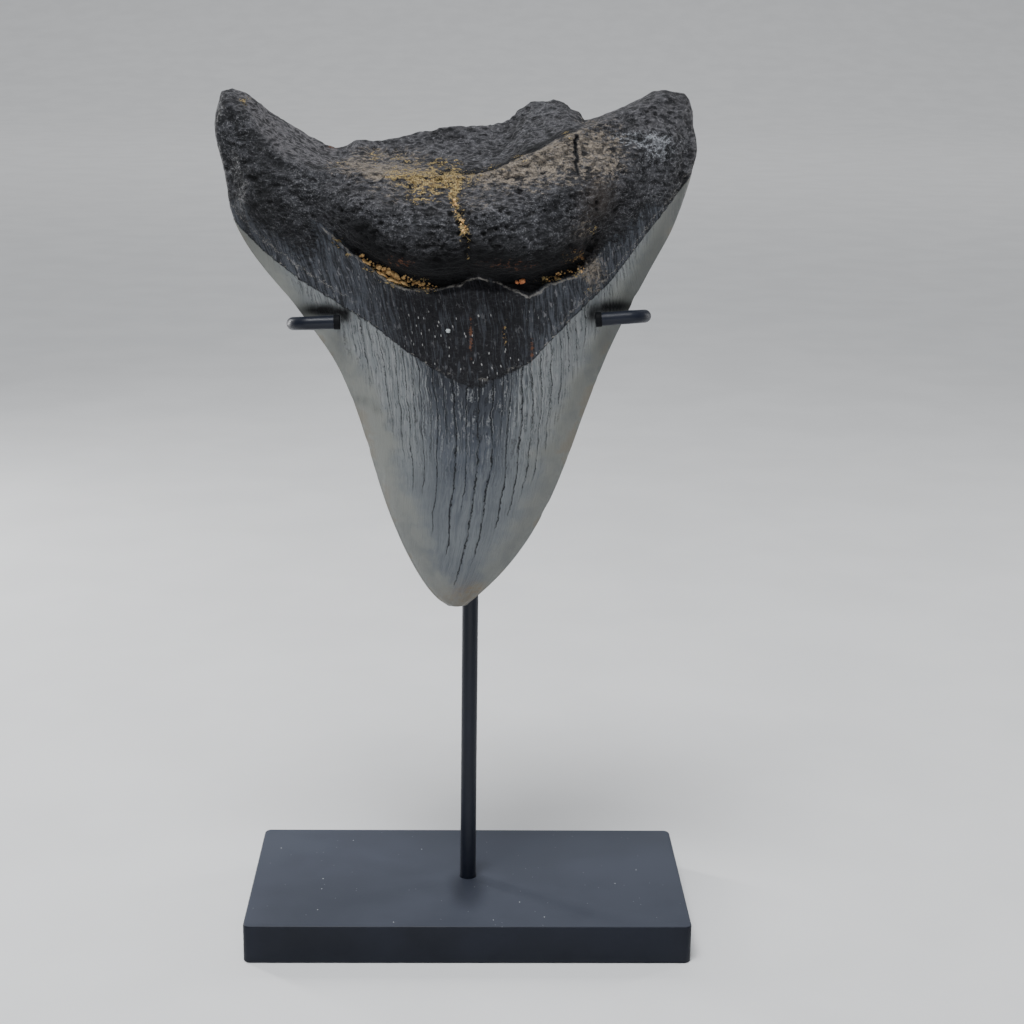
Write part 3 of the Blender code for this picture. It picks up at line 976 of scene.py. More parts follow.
def press_pit(centre, radius, depth):
    """Presses a round pit into the surface at a place on the tooth."""
    distance = np.linalg.norm(spots - centre, axis=1)
    pit_depth[:] = np.maximum(pit_depth, depth * step(1.5 * radius, 0.4 * radius, distance))


for pit_across, pit_up, radius, depth in PITS:
    nearest = np.argmin((across - pit_across) ** 2 + (up - pit_up) ** 2 + 1000.0 * (in_front < 0.5))
    press_pit(spots[nearest], radius, depth)
for index in chooser.choice(bone_points, SCATTERED_PITS, replace=False):
    press_pit(spots[index], chooser.uniform(0.25, 0.6), chooser.uniform(0.2, 0.5))

SPLIT_FROM, SPLIT_TO = 103.0, 112.4
split_line = 22.9 + 0.16 * np.sin(up * 1.3)
split_reach = step(SPLIT_FROM - 0.5, SPLIT_FROM + 1.0, up) * step(SPLIT_TO + 0.6, SPLIT_TO - 0.6, up)
split_depth = 1.1 * mound(across - split_line, 0.34) * split_reach * in_front
beside_split = step(0.0, 1.2, across - split_line) * mound(across - split_line - 1.0, 2.5)
relief -= pit_depth + split_depth + 0.35 * beside_split * split_reach * in_front
print("pits pressed:", len(PITS) + SCATTERED_PITS)

# %% The furrow, the lip and the groove above it
FURROW = [(78, -1.2), (86.6, -1.3), (89.7, -1.5), (92.7, -2.7), (95.3, -3.6), (97.4, -4.3), (101, -4.8)]
furrow_up, furrow_across = zip(*FURROW)
furrow_aside = across - np.interp(up, furrow_up, furrow_across) + 0.25 * np.sin(up * 1.7)
furrow = mound(furrow_aside, 0.5) * step(79.0, 82.0, up) * step(101.0, 97.0, up) * in_front
in_band = step(36.0, 31.0, from_middle) * in_front
ragged = 0.5 * noise_over(spots, 2.0, "fractal", 3)
lip = mound(above_lip + 0.45 + 0.9 * ragged, 0.55) * in_band
groove = mound(above_lip - 1.9, 1.3) * in_band
FOLDS = [(24.6, 79.0, 83.5), (26.9, 75.8, 84.5), (29.0, 79.5, 85.5)]
folds = np.zeros(len(points))
for fold_across, fold_low, fold_high in FOLDS:
    fold = mound(across - fold_across + 0.12 * (up - fold_low) + 0.5 * ragged, 0.42) * in_front
    fold *= step(fold_low - 0.8, fold_low, up) * step(fold_high, fold_high - 1.0, up)
    folds = np.maximum(folds, fold)
lip = np.maximum(lip, folds)
LIP_HEIGHT, GROOVE_DEPTH, FURROW_DEPTH = 0.30, 0.6, 0.6
relief += LIP_HEIGHT * lip * (1 + ragged) - GROOVE_DEPTH * groove - FURROW_DEPTH * furrow
print("points on the lip:", int(lip.sum()), "groove:", int(groove.sum()), "furrow:", int(furrow.sum()))

# %% The band's fine ribs and the enamel
reach = crack_reach(lane, up, below_edge) * in_front
cracked = crack_closeness(lane, reach)
ribs = np.sin(lane * 9.0 + 1.5 * noise_over(spots, 3.0))
RIB_HEIGHT, ENAMEL_HEIGHT, CRACK_DEPTH, BACK_CRACK_DEPTH = 0.05, 0.14, 0.17, 0.12
relief += band * RIB_HEIGHT * ribs * in_front
BACK_SPACING, BACK_CRACK_WIDTH = 3.1, 0.45
back_lane = bundle_at(across + 0.7, up) / BACK_SPACING
back_reach = (1 - in_front) * enamel * step(14.0, 24.0, up) * step(2.0, 5.0, edge_distance)
off_crack = np.abs(back_lane - np.rint(back_lane)) * BACK_SPACING
back_cracks = np.clip(1.0 - off_crack / BACK_CRACK_WIDTH, 0.0, 1.0) * back_reach
waviness = noise_over(spots * np.array((1.0, 1.0, 0.16)), 2.0, "fractal", 2)
inner_crown = enamel * step(2.0, 8.0, edge_distance)
relief += enamel * (ENAMEL_HEIGHT + 0.03 * noise_over(spots, 6.0)) + inner_crown * 0.09 * waviness
relief -= CRACK_DEPTH * cracked * enamel + BACK_CRACK_DEPTH * back_cracks
print("points in cracks:", int((cracked > 0.3).sum()), "in front,", int((back_cracks > 0.3).sum()), "behind")

# %% Nicks along the cutting edges
NICKS = [(-40.6, 75.6, 1.4, 0.5), (38.0, 74.8, 1.2, 0.25), (16.6, 24.2, 1.3, 0.3), (-24.6, 39.0, 1.0, 0.2)]
nick_pull = np.zeros(len(points))
for nick_across, nick_up, length, depth in NICKS:
    nick_pull += depth * mound(up - nick_up, length) * mound(across - nick_across, 2.0)
small_nicks = np.clip(noise_over(spots, 1.6, "fractal", 2) - 0.25, 0.0, 1.0)
nick_pull += 0.22 * small_nicks * step(1.0, 0.0, edge_distance) * enamel * step(10.0, 20.0, up)
print("nicks pull the edges in by up to", round(float(nick_pull.max()), 2), "mm")

# %% Move the points
moved = points + normals * relief[:, None] * MM
moved[:, 0] -= np.sign(across) * nick_pull * MM
tooth_low, tooth_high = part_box("tooth")
moved = np.clip(moved, np.array(tooth_low), np.array(tooth_high))
tooth.data.vertices.foreach_set("co", moved.ravel())
tooth.data.update()
print("relief from", round(float(relief.min()), 2), "to", round(float(relief.max()), 2), "mm")

# %% [markdown]
# ## What the material is told
#
# The material needs to know where it is. Distances from the borders, hollows and deposits are stored
# on the mesh's points as attributes, and the bundle's coordinate as a UV map. Deposits are soft
# patches, each a place, a size and a strength. So are the dark smudges above the wires' ends, which
# are painted shadows of the wires on the enamel, and two small dark marks lower down. The hollows
# carry painted shade and the facets painted highlight. The material breaks the patches up with its
# own noise.


# %% Patches of deposit
def patches(places):
    """The strength of soft patches: across, up, half width, half height, strength."""
    strength = np.zeros(len(points))
    for patch_across, patch_up, wide, high, amount in places:
        strength += amount * mound(across - patch_across, wide) * mound(up - patch_up, high)
    return np.clip(strength, 0.0, 1.0)


OCHRE_PATCHES = [
    (-16.0, 78.6, 4.5, 1.0, 1.0), (-22.5, 81.6, 2.2, 1.0, 0.9), (-10.5, 77.0, 2.5, 0.7, 0.8),
    (-31.0, 87.2, 1.1, 1.2, 0.75), (-28.0, 84.8, 1.4, 0.7, 0.6), (-4.6, 97.6, 0.9, 1.8, 1.0),
    (-3.4, 94.6, 0.9, 1.6, 1.0), (-2.2, 91.2, 1.1, 2.4, 1.0), (-1.3, 86.5, 0.3, 3.5, 0.5),
    (-17.5, 102.4, 3.0, 1.6, 0.75), (-13.0, 101.6, 3.0, 2.4, 0.90), (-8.5, 101.6, 3.0, 3.0, 0.90),
    (-4.6, 101.2, 2.2, 3.0, 1.0), (-0.6, 102.2, 2.6, 1.6, 0.65), (-12.0, 97.8, 3.4, 1.6, 0.50),
    (-23.0, 106.2, 1.5, 2.2, 0.45), (-17.0, 106.2, 3.0, 1.2, 0.45), (-8.0, 105.6, 4.0, 1.0, 0.45),
    (5.0, 104.4, 2.5, 0.9, 0.45), (11.0, 106.6, 2.5, 0.9, 0.45), (-30.5, 104.8, 2.0, 1.0, 0.4),
    (18.0, 79.6, 3.5, 0.8, 0.65), (24.0, 80.8, 2.2, 0.8, 0.65), (29.4, 80.3, 0.5, 0.5, 0.9),
    (26.4, 77.0, 0.7, 1.0, 0.8), (-52.3, 118.6, 1.1, 0.9, 0.7), (27.0, 91.0, 1.2, 3.4, 0.35),
    (7.4, 67.6, 0.5, 3.0, 0.62), (23.6, 84.5, 3.0, 2.2, 0.40), (21.0, 112.0, 1.2, 1.2, 0.45),
]  # fmt: skip
TAN_PATCHES = [
    (-20.0, 103.0, 6.5, 1.8, 1.0), (-10.0, 102.6, 7.0, 2.2, 1.0), (-1.0, 102.8, 5.0, 2.2, 0.95),
    (6.0, 104.0, 4.5, 2.8, 0.9), (13.5, 106.6, 6.5, 5.0, 0.82), (20.5, 109.8, 6.0, 5.6, 0.82),
    (10.0, 102.5, 7.0, 3.0, 0.35), (-14.0, 99.0, 9.0, 2.4, 0.35), (27.6, 81.0, 2.4, 3.4, 0.95),
    (28.0, 108.6, 6.0, 6.0, 0.60), (30.0, 105.0, 3.0, 4.0, 0.40), (-28.0, 104.6, 5.0, 1.6, 0.65),
    (-24.0, 106.8, 4.0, 1.8, 0.40), (-16.0, 106.6, 5.0, 1.6, 0.50),
    (21.5, 82.0, 5.0, 2.0, 0.85), (24.5, 89.0, 2.2, 5.0, 0.45), (-1.5, 97.0, 6.0, 2.0, 0.25),
]  # fmt: skip
RUST_PATCHES = [
    (-0.5, 66.2, 0.40, 4.6, 0.95), (7.2, 67.2, 0.5, 3.4, 0.45), (13.6, 63.2, 0.4, 3.2, 0.85),
    (-33.0, 108.4, 1.2, 0.8, 0.6), (8.0, 83.0, 9.0, 1.8, 0.34), (-17.0, 83.4, 6.0, 1.8, 0.38),
    (24.0, 85.0, 4.0, 3.0, 0.34),
]  # fmt: skip
BLUE_PATCHES = [
    (36.0, 111.4, 7.0, 2.2, 1.0), (43.0, 109.4, 4.0, 2.8, 1.0), (39.0, 106.0, 7.0, 4.0, 0.40),
    (34.0, 99.0, 6.0, 6.0, 0.25), (-45.0, 92.5, 7.0, 5.0, 0.20),
    (3.0, 97.5, 4.5, 3.0, 0.30), (-13.0, 96.0, 9.0, 3.0, 0.35),
]  # fmt: skip
BROWN_PATCHES = [
    (28.0, 98.0, 3.5, 5.0, 0.9), (25.0, 87.0, 3.5, 5.0, 0.7), (1.5, 5.2, 2.0, 1.4, 0.9),
    (-1.5, 3.0, 5.0, 3.4, 0.85), (-1.0, 64.0, 3.0, 4.0, 0.3),
]  # fmt: skip
# Painted shadows of the wires on the enamel above their ends, and two small dark marks lower down
SHADOW_AND_MARK_PATCHES = [
    (-34.4, 71.4, 5.2, 1.35, 1.5), (-29.5, 70.0, 1.1, 1.7, 0.9), (32.4, 72.8, 4.3, 1.5, 1.4),
    (27.4, 70.8, 1.2, 2.0, 0.9), (-26.4, 50.3, 3.2, 0.9, 0.35), (-22.7, 48.6, 1.6, 0.6, 0.30),
]  # fmt: skip
PALE_PATCHES = [(41.0, 116.5, 14.0, 8.0, 0.60), (21.0, 110.5, 6.0, 5.0, 0.50)]
print("patches of ochre clay:", len(OCHRE_PATCHES), "and of tan dust:", len(TAN_PATCHES))

# %% Painted shade in hollows, painted highlight on facets, and dust
# Painted shade under the ledge, in pits, split and furrow, in low bone and the valley; a darker left lobe
overhang = step(-0.3, 0.5, above_lip) * step(12.5, 5.5, above_lip) * step(36.0, 22.0, np.abs(across + 1))
overhang *= 1 - folds
holes = np.clip(pit_depth / 0.5, 0, 1) + split_depth / 0.6 + 0.5 * furrow
crevices = step(0.32, 0.02, bone_height) * 0.6 * bony
dark_lobe = 0.50 * mound(across + 50.0, 8.0) * mound(up - 96.0, 13.0) * in_front
behind_crest = step(0.30, 0.65, normals[:, 2]) * step(-14.0, -4.0, across) * step(27.0, 21.0, across)
valley = 0.95 * mound(deep + 7.2, 2.2) * behind_crest
hollow = np.clip(overhang * in_front + holes + crevices + dark_lobe + valley * bony, 0.0, 1.0)
# Painted highlight on the left lobe's top facet, on faces that look up and along the rim, and pale patches
facet = step(-0.8, 1.6, up - line_at(LEFT_CREST, across)) * step(-27.0, -35.0, across)
facet = np.maximum(facet, 0.34 * step(0.25, 0.75, normals[:, 2]) * bony)
for pale_place in PALE_PATCHES:
    facet = np.maximum(facet, patches([pale_place]))
facet = np.maximum(facet, 0.16 * mound(across - 36.0, 10.0) * mound(up - 102.0, 10.0) * bony)
facet = np.maximum(facet, mound(edge_distance, 1.7) * bony * step(-10.0, 10.0, across))
seen = step(-0.7, -0.1, -normals[:, 1])
tan_dust = patches(TAN_PATCHES) * seen * (1 - step(-9.0, -7.0, deep) * behind_crest)
print("points in hollows:", int((hollow > 0.5).sum()), "on pale facets:", int((facet > 0.3).sum()))


# %% Store what the material reads
def store_values(name, values):
    tooth.data.attributes.new(name, "FLOAT", "POINT").data.foreach_set("value", values.astype(np.float32))


def store_colours(name, red, green, blue):
    colours = np.column_stack((red, green, blue, np.ones(len(red)))).astype(np.float32)
    tooth.data.attributes.new(name, "FLOAT_COLOR", "POINT").data.foreach_set("color", colours.ravel())


store_values("below_edge", below_edge)
store_values("bony", bony)
store_values("edge_distance", edge_distance)
store_values("crack_reach", reach)
store_values("back_cracks", back_cracks)
store_values("bone_height", bone_height)
store_colours("deposits", patches(OCHRE_PATCHES) * seen, tan_dust, patches(RUST_PATCHES) * in_front)
store_colours("stains_and_highlight", patches(BLUE_PATCHES), facet, patches(BROWN_PATCHES) * in_front)
store_colours("shade_lip_and_shadow", hollow, lip, patches(SHADOW_AND_MARK_PATCHES) * in_front)

lane_map = tooth.data.uv_layers.new(name="lanes")
corner_points = np.empty(len(tooth.data.loops), dtype=np.int64)
tooth.data.loops.foreach_get("vertex_index", corner_points)
lane_map.data.foreach_set("uv", np.column_stack((lane, up))[corner_points].astype(np.float32).ravel())
print("attributes:", [a.name for a in tooth.data.attributes if not a.name.startswith(".")])

# %% [markdown]
# ## The fossil's finish
#
# One material covers the whole tooth, because nature has no seams here. It is painted in layers, as a
# restorer would colour a cast: the dark band first, then bone and the cracked enamel over it, and then
# what lies on top of them all: the pale broken line along the enamel's edge, painted shade in the
# hollows, clay and rust. Painted glints and highlight on the bone, and the wires' painted shadows on
# the enamel, are layers too. A mask says where each layer goes. Roughness and bump follow the same
# masks.

# %% Mix the fossil's colours
BONE_DARK = (0.0095, 0.0100, 0.0120, 1.0)
BONE_MID = (0.053, 0.054, 0.061, 1.0)
PAINTED_GLINT = (0.210, 0.210, 0.222, 1.0)
BONE_PALE = (0.150, 0.144, 0.152, 1.0)
BONE_BLUE = (0.290, 0.305, 0.328, 1.0)
BONE_BROWN = (0.070, 0.056, 0.047, 1.0)
BAND_DARK = (0.0085, 0.0084, 0.0108, 1.0)
BAND_GREY = (0.074, 0.081, 0.096, 1.0)
BAND_DASH = (0.36, 0.36, 0.36, 1.0)
ENAMEL_GREY = (0.170, 0.184, 0.189, 1.0)
ENAMEL_BLUE = (0.039, 0.047, 0.065, 1.0)
ENAMEL_DEEP = (0.018, 0.021, 0.029, 1.0)
ENAMEL_PALE = (0.260, 0.268, 0.270, 1.0)
ENAMEL_MARGIN = (0.191, 0.197, 0.179, 1.0)
ENAMEL_SHADE = (0.062, 0.065, 0.060, 1.0)
ENAMEL_BROWN = (0.155, 0.122, 0.080, 1.0)
# Near black: the cracks, and also painted shade in hollows and the wires' painted shadows
CRACK_AND_SHADE_DARK = (0.0035, 0.0037, 0.0046, 1.0)
CLAY_TAN = (0.280, 0.236, 0.186, 1.0)
CLAY_BROWN = (0.185, 0.118, 0.050, 1.0)
CLAY_OCHRE = (0.480, 0.365, 0.160, 1.0)
RUST_RED = (0.165, 0.068, 0.034, 1.0)
EDGE_PALE = (0.300, 0.285, 0.260, 1.0)
MIDDLE_LANE, POINT_LANE = 14.5, 15.0
print("the middle of the crown is lane", MIDDLE_LANE)

# %% Mix the fossil: the noises it uses
RIDGES = {"Detail": 6.0, "Roughness": 0.5, "Offset": 1.0, "Gain": 2.0}


def fossil_noises(tree, place):
    """The sizes of unevenness that the fossil shows, by name. The loose ones are about 0 on average."""
    wide = add_node(tree, "Mapping", {"Vector": place, "Scale": (0.55, 1.0, 1.0)}).outputs[0]
    lane_map = add_node(tree, "UVMap", uv_map="lanes").outputs[0]
    lane, up = axis_of(tree, lane_map, "X"), axis_of(tree, lane_map, "Y")
    long_way, short_way = (
        add_node(tree, "CombineXYZ", {"X": lane * (2.0 * MM), "Y": up * (squeeze * MM)}).outputs[0]
        for squeeze in (0.07, 0.30)
    )
    found = SimpleNamespace(lane=lane, up=up, short_way=short_way)
    found.grit = grain_at(tree, wide, 1.3, 0.6)[0]
    found.fine = grain_at(tree, place, 2.8, 0.5, 3.0)[0]
    found.loose_grit, found.loose_fine = found.grit - 0.8, found.fine - 0.75
    found.mottle = grain_at(tree, place, 0.16, 0.5)[0]
    found.streaks, found.soft_streaks = grain_at(tree, long_way, 1.5, 0.8, 5.0)
    found.beads, found.soft_beads = grain_at(tree, short_way, 1.1, 0.5, 3.0)
    found.rock, found.knots = (
        Value(
            add_node(
                tree,
                "TexNoise",
                {"Vector": wide, "Scale": per_mm / MM, **RIDGES},
                noise_type="RIDGED_MULTIFRACTAL",
            ).outputs[0]
        )
        for per_mm in (0.85, 0.40)
    )
    cells = add_node(tree, "TexVoronoi", {"Vector": wide, "Scale": 0.80 / MM})
    pick = Value(add_node(tree, "SeparateColor", {0: cells.outputs["Color"]}).outputs[0])
    found.pits = Value(cells.outputs["Distance"]).fade(0.16, 0.34, 1.0, 0.0) * pick.math("LESS_THAN", 0.14)
    return found


# %% Mix the fossil: what the mesh tells it
def told_by_mesh(tree):
    """The numbers stored on the mesh's points, by name."""
    read = lambda name, output="Fac": add_node(tree, "Attribute", attribute_name=name).outputs[output]
    split = lambda name: map(Value, add_node(tree, "SeparateColor", {0: read(name, "Color")}).outputs)
    told = SimpleNamespace()
    for name in ("below_edge", "edge_distance", "crack_reach", "back_cracks", "bony", "bone_height"):
        setattr(told, name, Value(read(name)))
    told.ochre, told.tan, told.rust = split("deposits")
    told.blue_stain, told.pale_facet, told.brown_stain = split("stains_and_highlight")
    told.hollow, told.lip, told.soot = split("shade_lip_and_shadow")
    return told


# %% Mix the fossil: bone
def paint_bone(noises, told):
    """The root's colour: near black hollows, painted glints and highlight, blue and brown stain marks."""
    rock, knots, fine, mottle = noises.rock, noises.knots, noises.fine, noises.mottle
    raised = rock.fade(0.45, 1.60) * told.bone_height.fade(0.15, 0.75, 0.30, 1.15)
    raised *= knots.fade(0.55, 1.50, 0.35, 1.1)
    raised *= mottle.fade(0.62, 0.88, 0.65, 1.12)
    speckle = fine * 1.4 + told.blue_stain * 0.55
    blue = speckle.fade(1.46, 1.66) * told.blue_stain.fade(0.05, 0.5)
    return layered(
        BONE_DARK,
        (raised, BONE_MID),
        # Painted glints on the ridges' peaks, and scattered painted glints
        (rock.fade(1.36, 1.62) * fine.fade(0.74, 0.88) * knots.fade(0.9, 1.6, 0.20, 0.85), PAINTED_GLINT),
        (fine.fade(0.85, 0.92) * mottle.fade(0.62, 0.85, 0.3, 1.0) * 0.80, PAINTED_GLINT),
        # Painted highlight on facets and rim, and pale patches
        (told.pale_facet * rock.fade(0.8, 1.6, 0.15, 0.85), BONE_PALE),
        (blue * rock.fade(0.9, 1.5, 0.1, 0.9), BONE_BLUE),
        (told.brown_stain * 0.7, BONE_BROWN),
    )


# %% Mix the fossil: the dark band
def paint_band(tree, noises):
    """The band under the lip: black in the middle, bluish grey at both sides, with pale dashes."""
    lane, streaks = noises.lane, noises.streaks
    side = lane.fade(9.0, 2.0).or_more(lane.fade(18.0, 22.5))
    dashed = noises.up.fade(74.5, 71.0) * lane.fade(6.0, 9.0) * lane.fade(23.0, 20.0)
    return layered(
        BAND_DARK,
        (side * streaks.fade(0.78, 1.02, 0.20, 1.0), BAND_GREY),
        (streaks.fade(0.90, 1.06) * 0.38, BAND_GREY),
        # Painted glints on the band's sides
        (noises.beads.fade(0.86, 0.94) * side.fade(0.0, 1.0, 0.25, 0.65), PAINTED_GLINT),
        (dots_at(tree, noises.short_way, 0.95, 0.105, 0.20) * dashed, BAND_DASH),
        (dots_at(tree, noises.short_way, 1.5, 0.14, 0.08) * dashed, BAND_DASH),
    )


# %% Mix the fossil: enamel
def paint_enamel(noises, told):
    """The crown's colour: blue-black under the band, grey lower down, pale and patchy at the margins."""
    lane, up, streaks, mottle = noises.lane, noises.up, noises.streaks, noises.mottle
    edge_distance = told.edge_distance
    rightward = lane - MIDDLE_LANE
    off_middle = (rightward * 1.35).or_more(rightward * -1.0) + (streaks - 0.9) * 8.0
    deep_blue = off_middle.fade(2.0, 8.5, 1.0, 0.0) * up.fade(12.0, 46.0, 0.30, 1.0)
    inside = edge_distance.fade(4.0, 9.0)
    right_shade = edge_distance.fade(7.0, 3.0) * lane.fade(15.0, 19.0)
    worn = streaks.fade(0.88, 1.02) * off_middle.fade(4.0, 8.0) * inside
    return layered(
        ENAMEL_GREY,
        (deep_blue * streaks.fade(0.75, 1.05, 0.70, 1.0), ENAMEL_BLUE),
        (streaks.fade(0.86, 1.06) * inside * 0.26, ENAMEL_BLUE),
        ((mottle * 9.0 + edge_distance).fade(10.0, 16.0, 0.85, 0.0), ENAMEL_MARGIN),
        (right_shade * up.fade(30.0, 75.0, 0.20, 0.55), ENAMEL_SHADE),
        (worn * up.fade(30.0, 56.0) * 0.65, ENAMEL_PALE),
        (up.fade(40.0, 12.0, 0.0, 0.14), ENAMEL_BLUE),
        (mottle.fade(0.66, 0.92, 0.0, 0.16), ENAMEL_BLUE),
        (edge_distance.fade(3.0, 0.3) * mottle.fade(0.72, 0.60) * 0.4, ENAMEL_BROWN),
        (told.below_edge.fade(0.5, 20.0, 1.0, 0.0) * off_middle.fade(2.5, 7.5, 1.0, 0.0), ENAMEL_DEEP),
        (told.brown_stain * noises.grit.fade(0.7, 0.95, 0.4, 1.0), ENAMEL_BROWN),
    )


# %% Mix the fossil: the cracks in the enamel
def draw_cracks(noises, told):
    """Masks of the listed cracks, of the hairlines between them, and of the pale lines beside those."""
    up, reach, beads = noises.up, told.crack_reach, noises.beads.fade(0.66, 0.84)
    lane = noises.lane + noises.loose_grit * 0.42
    half_width = reach * beads * up.fade(32.0, 50.0, 1.0, 0.55) * 0.060 + 0.026
    drawn = (half_width - lane.off_whole()).fade(-0.014, 0.026)
    listed = drawn * (beads * 0.35 + reach).fade(0.12, 0.75) * reach.fade(0.0, 0.2)
    present = noises.soft_beads.fade(0.40, 0.54) * up.fade(26.0, 46.0, 0.15, 1.0)
    present *= told.edge_distance.fade(3.5, 7.5)
    hairlines, pale_lines = (
        (lane * 2.6 + noises.soft_streaks * 3.2 + shift).off_whole().fade(0.18, 0.06) * present
        for shift in (0.0, 0.42)
    )
    return listed, hairlines * 0.50, pale_lines * beads


# %% Mix the fossil: where bone and enamel meet
def find_borders(noises, told):
    """Where bone and enamel lie, and what is seen along their borders."""
    lane, grit, below_edge = noises.lane, noises.grit, told.below_edge

    # Grit makes the enamel's edge ragged, but it is crisp at the V's point
    crisp = abs(lane - POINT_LANE).fade(1.5, 6.0, 0.32, 1.0)
    ragged = noises.loose_grit * 1.1 + below_edge * crisp
    found = SimpleNamespace(enamel=ragged.fade(-0.05, 0.20))
    found.bone = (noises.loose_grit * 1.5 + told.bony).fade(0.25, 0.80)

    # The pale broken line along the enamel's edge, the crust on the lip, and pale veins at the band's ends
    found.near_edge = abs(ragged).fade(0.08, 0.32, 1.0, 0.0)
    found.chip = found.near_edge * crisp * grit.fade(0.84, 0.94) * noises.mottle.fade(0.70, 0.82, 0.1, 1.0)
    found.crust = told.lip.fade(0.60, 0.95) * grit.fade(0.66, 0.88, 0.15, 1.0)
    off_vein = abs(noises.loose_grit * 3.5 + below_edge + lane.fade(5.0, 20.0, 2.6, 1.4))
    vein = off_vein.fade(0.06, 0.24, 1.0, 0.0) * lane.fade(3.0, 0.0).or_more(lane.fade(21.0, 24.0))
    found.vein = vein * noises.fine.fade(0.68, 0.84, 0.2, 1.0)
    return found


# %% Mix the fossil: clay and rust
def lay_deposits(noises, told):
    """Where tan dust, ochre clay and rust lie, broken up by grit."""
    tan, ochre, rust = told.tan, told.ochre, told.rust
    grit = noises.loose_grit
    dusty = (grit * 3.2 + tan).fade(0.20, 1.05) * tan.fade(0.02, 0.20) * told.hollow.fade(0.7, 0.2)
    crumbly = (noises.loose_fine * 1.6 + grit * 3.2 + ochre).fade(0.66, 0.86) * ochre.fade(0.05, 0.30)
    rusty = (grit * 2.0 + rust).fade(0.35, 0.85) * rust.fade(0.05, 0.30)
    return dusty, crumbly, rusty


# %% Mix the fossil: put the layers together
def build_fossil():
    """The tooth's one material: bone, band, enamel and what lies on them."""
    made, tree, place = start_material("fossil")
    noises = fossil_noises(tree, place)
    told = told_by_mesh(tree)
    rock, grit, fine = noises.rock, noises.grit, noises.fine

    # Enamel with the wires' painted shadows, two small dark marks, and its cracks
    listed, hairlines, pale_lines = draw_cracks(noises, told)
    cracks = listed.or_more(hairlines).or_more(told.back_cracks * 0.7)
    enamel = layered(
        paint_enamel(noises, told),
        (pale_lines * told.below_edge.fade(2.0, 26.0, 0.50, 0.30), ENAMEL_PALE),
        (told.soot, CRACK_AND_SHADE_DARK),
        (cracks * 0.84, CRACK_AND_SHADE_DARK),
    )

    # All the layers, from the band up to the rust
    border = find_borders(noises, told)
    dusty, crumbly, rusty = lay_deposits(noises, told)
    thin = rock.fade(0.6, 1.5, 0.35, 1.0) * fine.fade(0.62, 0.84, 0.40, 1.05)
    clay = layered(CLAY_BROWN, (fine.fade(0.66, 0.84), CLAY_OCHRE))
    colour = layered(
        paint_band(tree, noises),
        (border.bone, paint_bone(noises, told)),
        (border.enamel, enamel),
        (border.near_edge * 0.55, BAND_DARK),
        (border.chip, EDGE_PALE),
        (border.crust * 0.75, EDGE_PALE),
        (border.vein * 0.75, EDGE_PALE),
        # Painted shade in the hollows
        (told.hollow * 0.97, CRACK_AND_SHADE_DARK),
        (noises.pits * border.bone * 0.75, CRACK_AND_SHADE_DARK),
        (dusty * thin, CLAY_TAN),
        (crumbly * 0.9, clay),
        (rusty * 0.75, RUST_RED),
    )

    # Enamel is satin, bone is dull with glints on its ridges, clay is powdery
    bone_rough = (noises.loose_fine * 1.5 + rock).fade(1.1, 1.7, 0.80, 0.44)
    enamel_rough = noises.mottle.fade(0.6, 0.9, 0.36, 0.46)
    powder = dusty.or_more(crumbly).or_more(cracks.or_more(told.hollow)) * 0.88
    roughness = border.enamel.between(bone_rough, enamel_rough).or_more(powder)

    # Ridges, grit and pits on bone, ribs on the band, fine streaks and cracks on enamel
    bone_relief = grit * 0.9 + fine * 0.45 + rock * 0.45 + noises.knots * 0.95 + noises.pits * -0.5
    band_relief = noises.streaks * 0.8 + fine * 0.5
    enamel_relief = noises.streaks * 0.35 + cracks * -0.45
    relief = border.enamel.between(border.bone.between(band_relief, bone_relief), enamel_relief)
    return finish_material(made, colour, roughness, 0.28, bump=(relief + crumbly * 0.35, 1.0, 0.50))


fossil = build_fossil()
only(tooth)
bpy.ops.object.shade_smooth()
settle(tooth, "fossil_tooth", fossil)
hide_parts("tooth")

# %% [markdown]
# ## Crumbs of sediment
#
# Crumbs of ochre clay and sand still sit in the groove under the swelling of the root. They could be
# painted on, but they cast little shadows, so they are real grains. One icosphere is copied, and noise
# dents each copy. A seeded scatter turns and sizes it, and a ray from the front finds its place.


# %% The crumb's finish
def build_clay(name, light, dark):
    """Powdery clay, lighter on the tops of its grains: partly its own colour, partly a painted highlight."""
    made, tree, place = start_material(name)
    height = grain_at(tree, place, 1.6, 0.5)[0]
    colour = layered(dark, (height.fade(0.5, 0.95), light))
    return finish_material(made, colour, 0.88, 0.25, bump=(height, 0.8, 0.12))


ochre_clay = build_clay("ochre_clay", (0.80, 0.54, 0.24, 1.0), (0.34, 0.18, 0.075, 1.0))
orange_clay = build_clay("orange_clay", (0.72, 0.30, 0.13, 1.0), (0.42, 0.13, 0.06, 1.0))
pale_clay = build_clay("pale_clay", (0.62, 0.66, 0.67, 1.0), (0.36, 0.39, 0.41, 1.0))
print("clays:", ochre_clay.name, orange_clay.name, pale_clay.name)

# %% One crumb
scatter_rng = np.random.default_rng(21)
surface = BVHTree.FromObject(tooth, bpy.context.evaluated_depsgraph_get())
bpy.ops.object.select_all(action="DESELECT")
bpy.ops.mesh.primitive_ico_sphere_add(subdivisions=2, radius=1.0)
plain_grain = bpy.context.object


def front_spot(crumb_across, crumb_up):
    """Where a ray from the front meets the tooth."""
    start = world_point(crumb_across, crumb_up, -60.0)
    ahead = (world_point(crumb_across, crumb_up, 0.0) - start).normalized()
    return surface.ray_cast(start, ahead)[0]


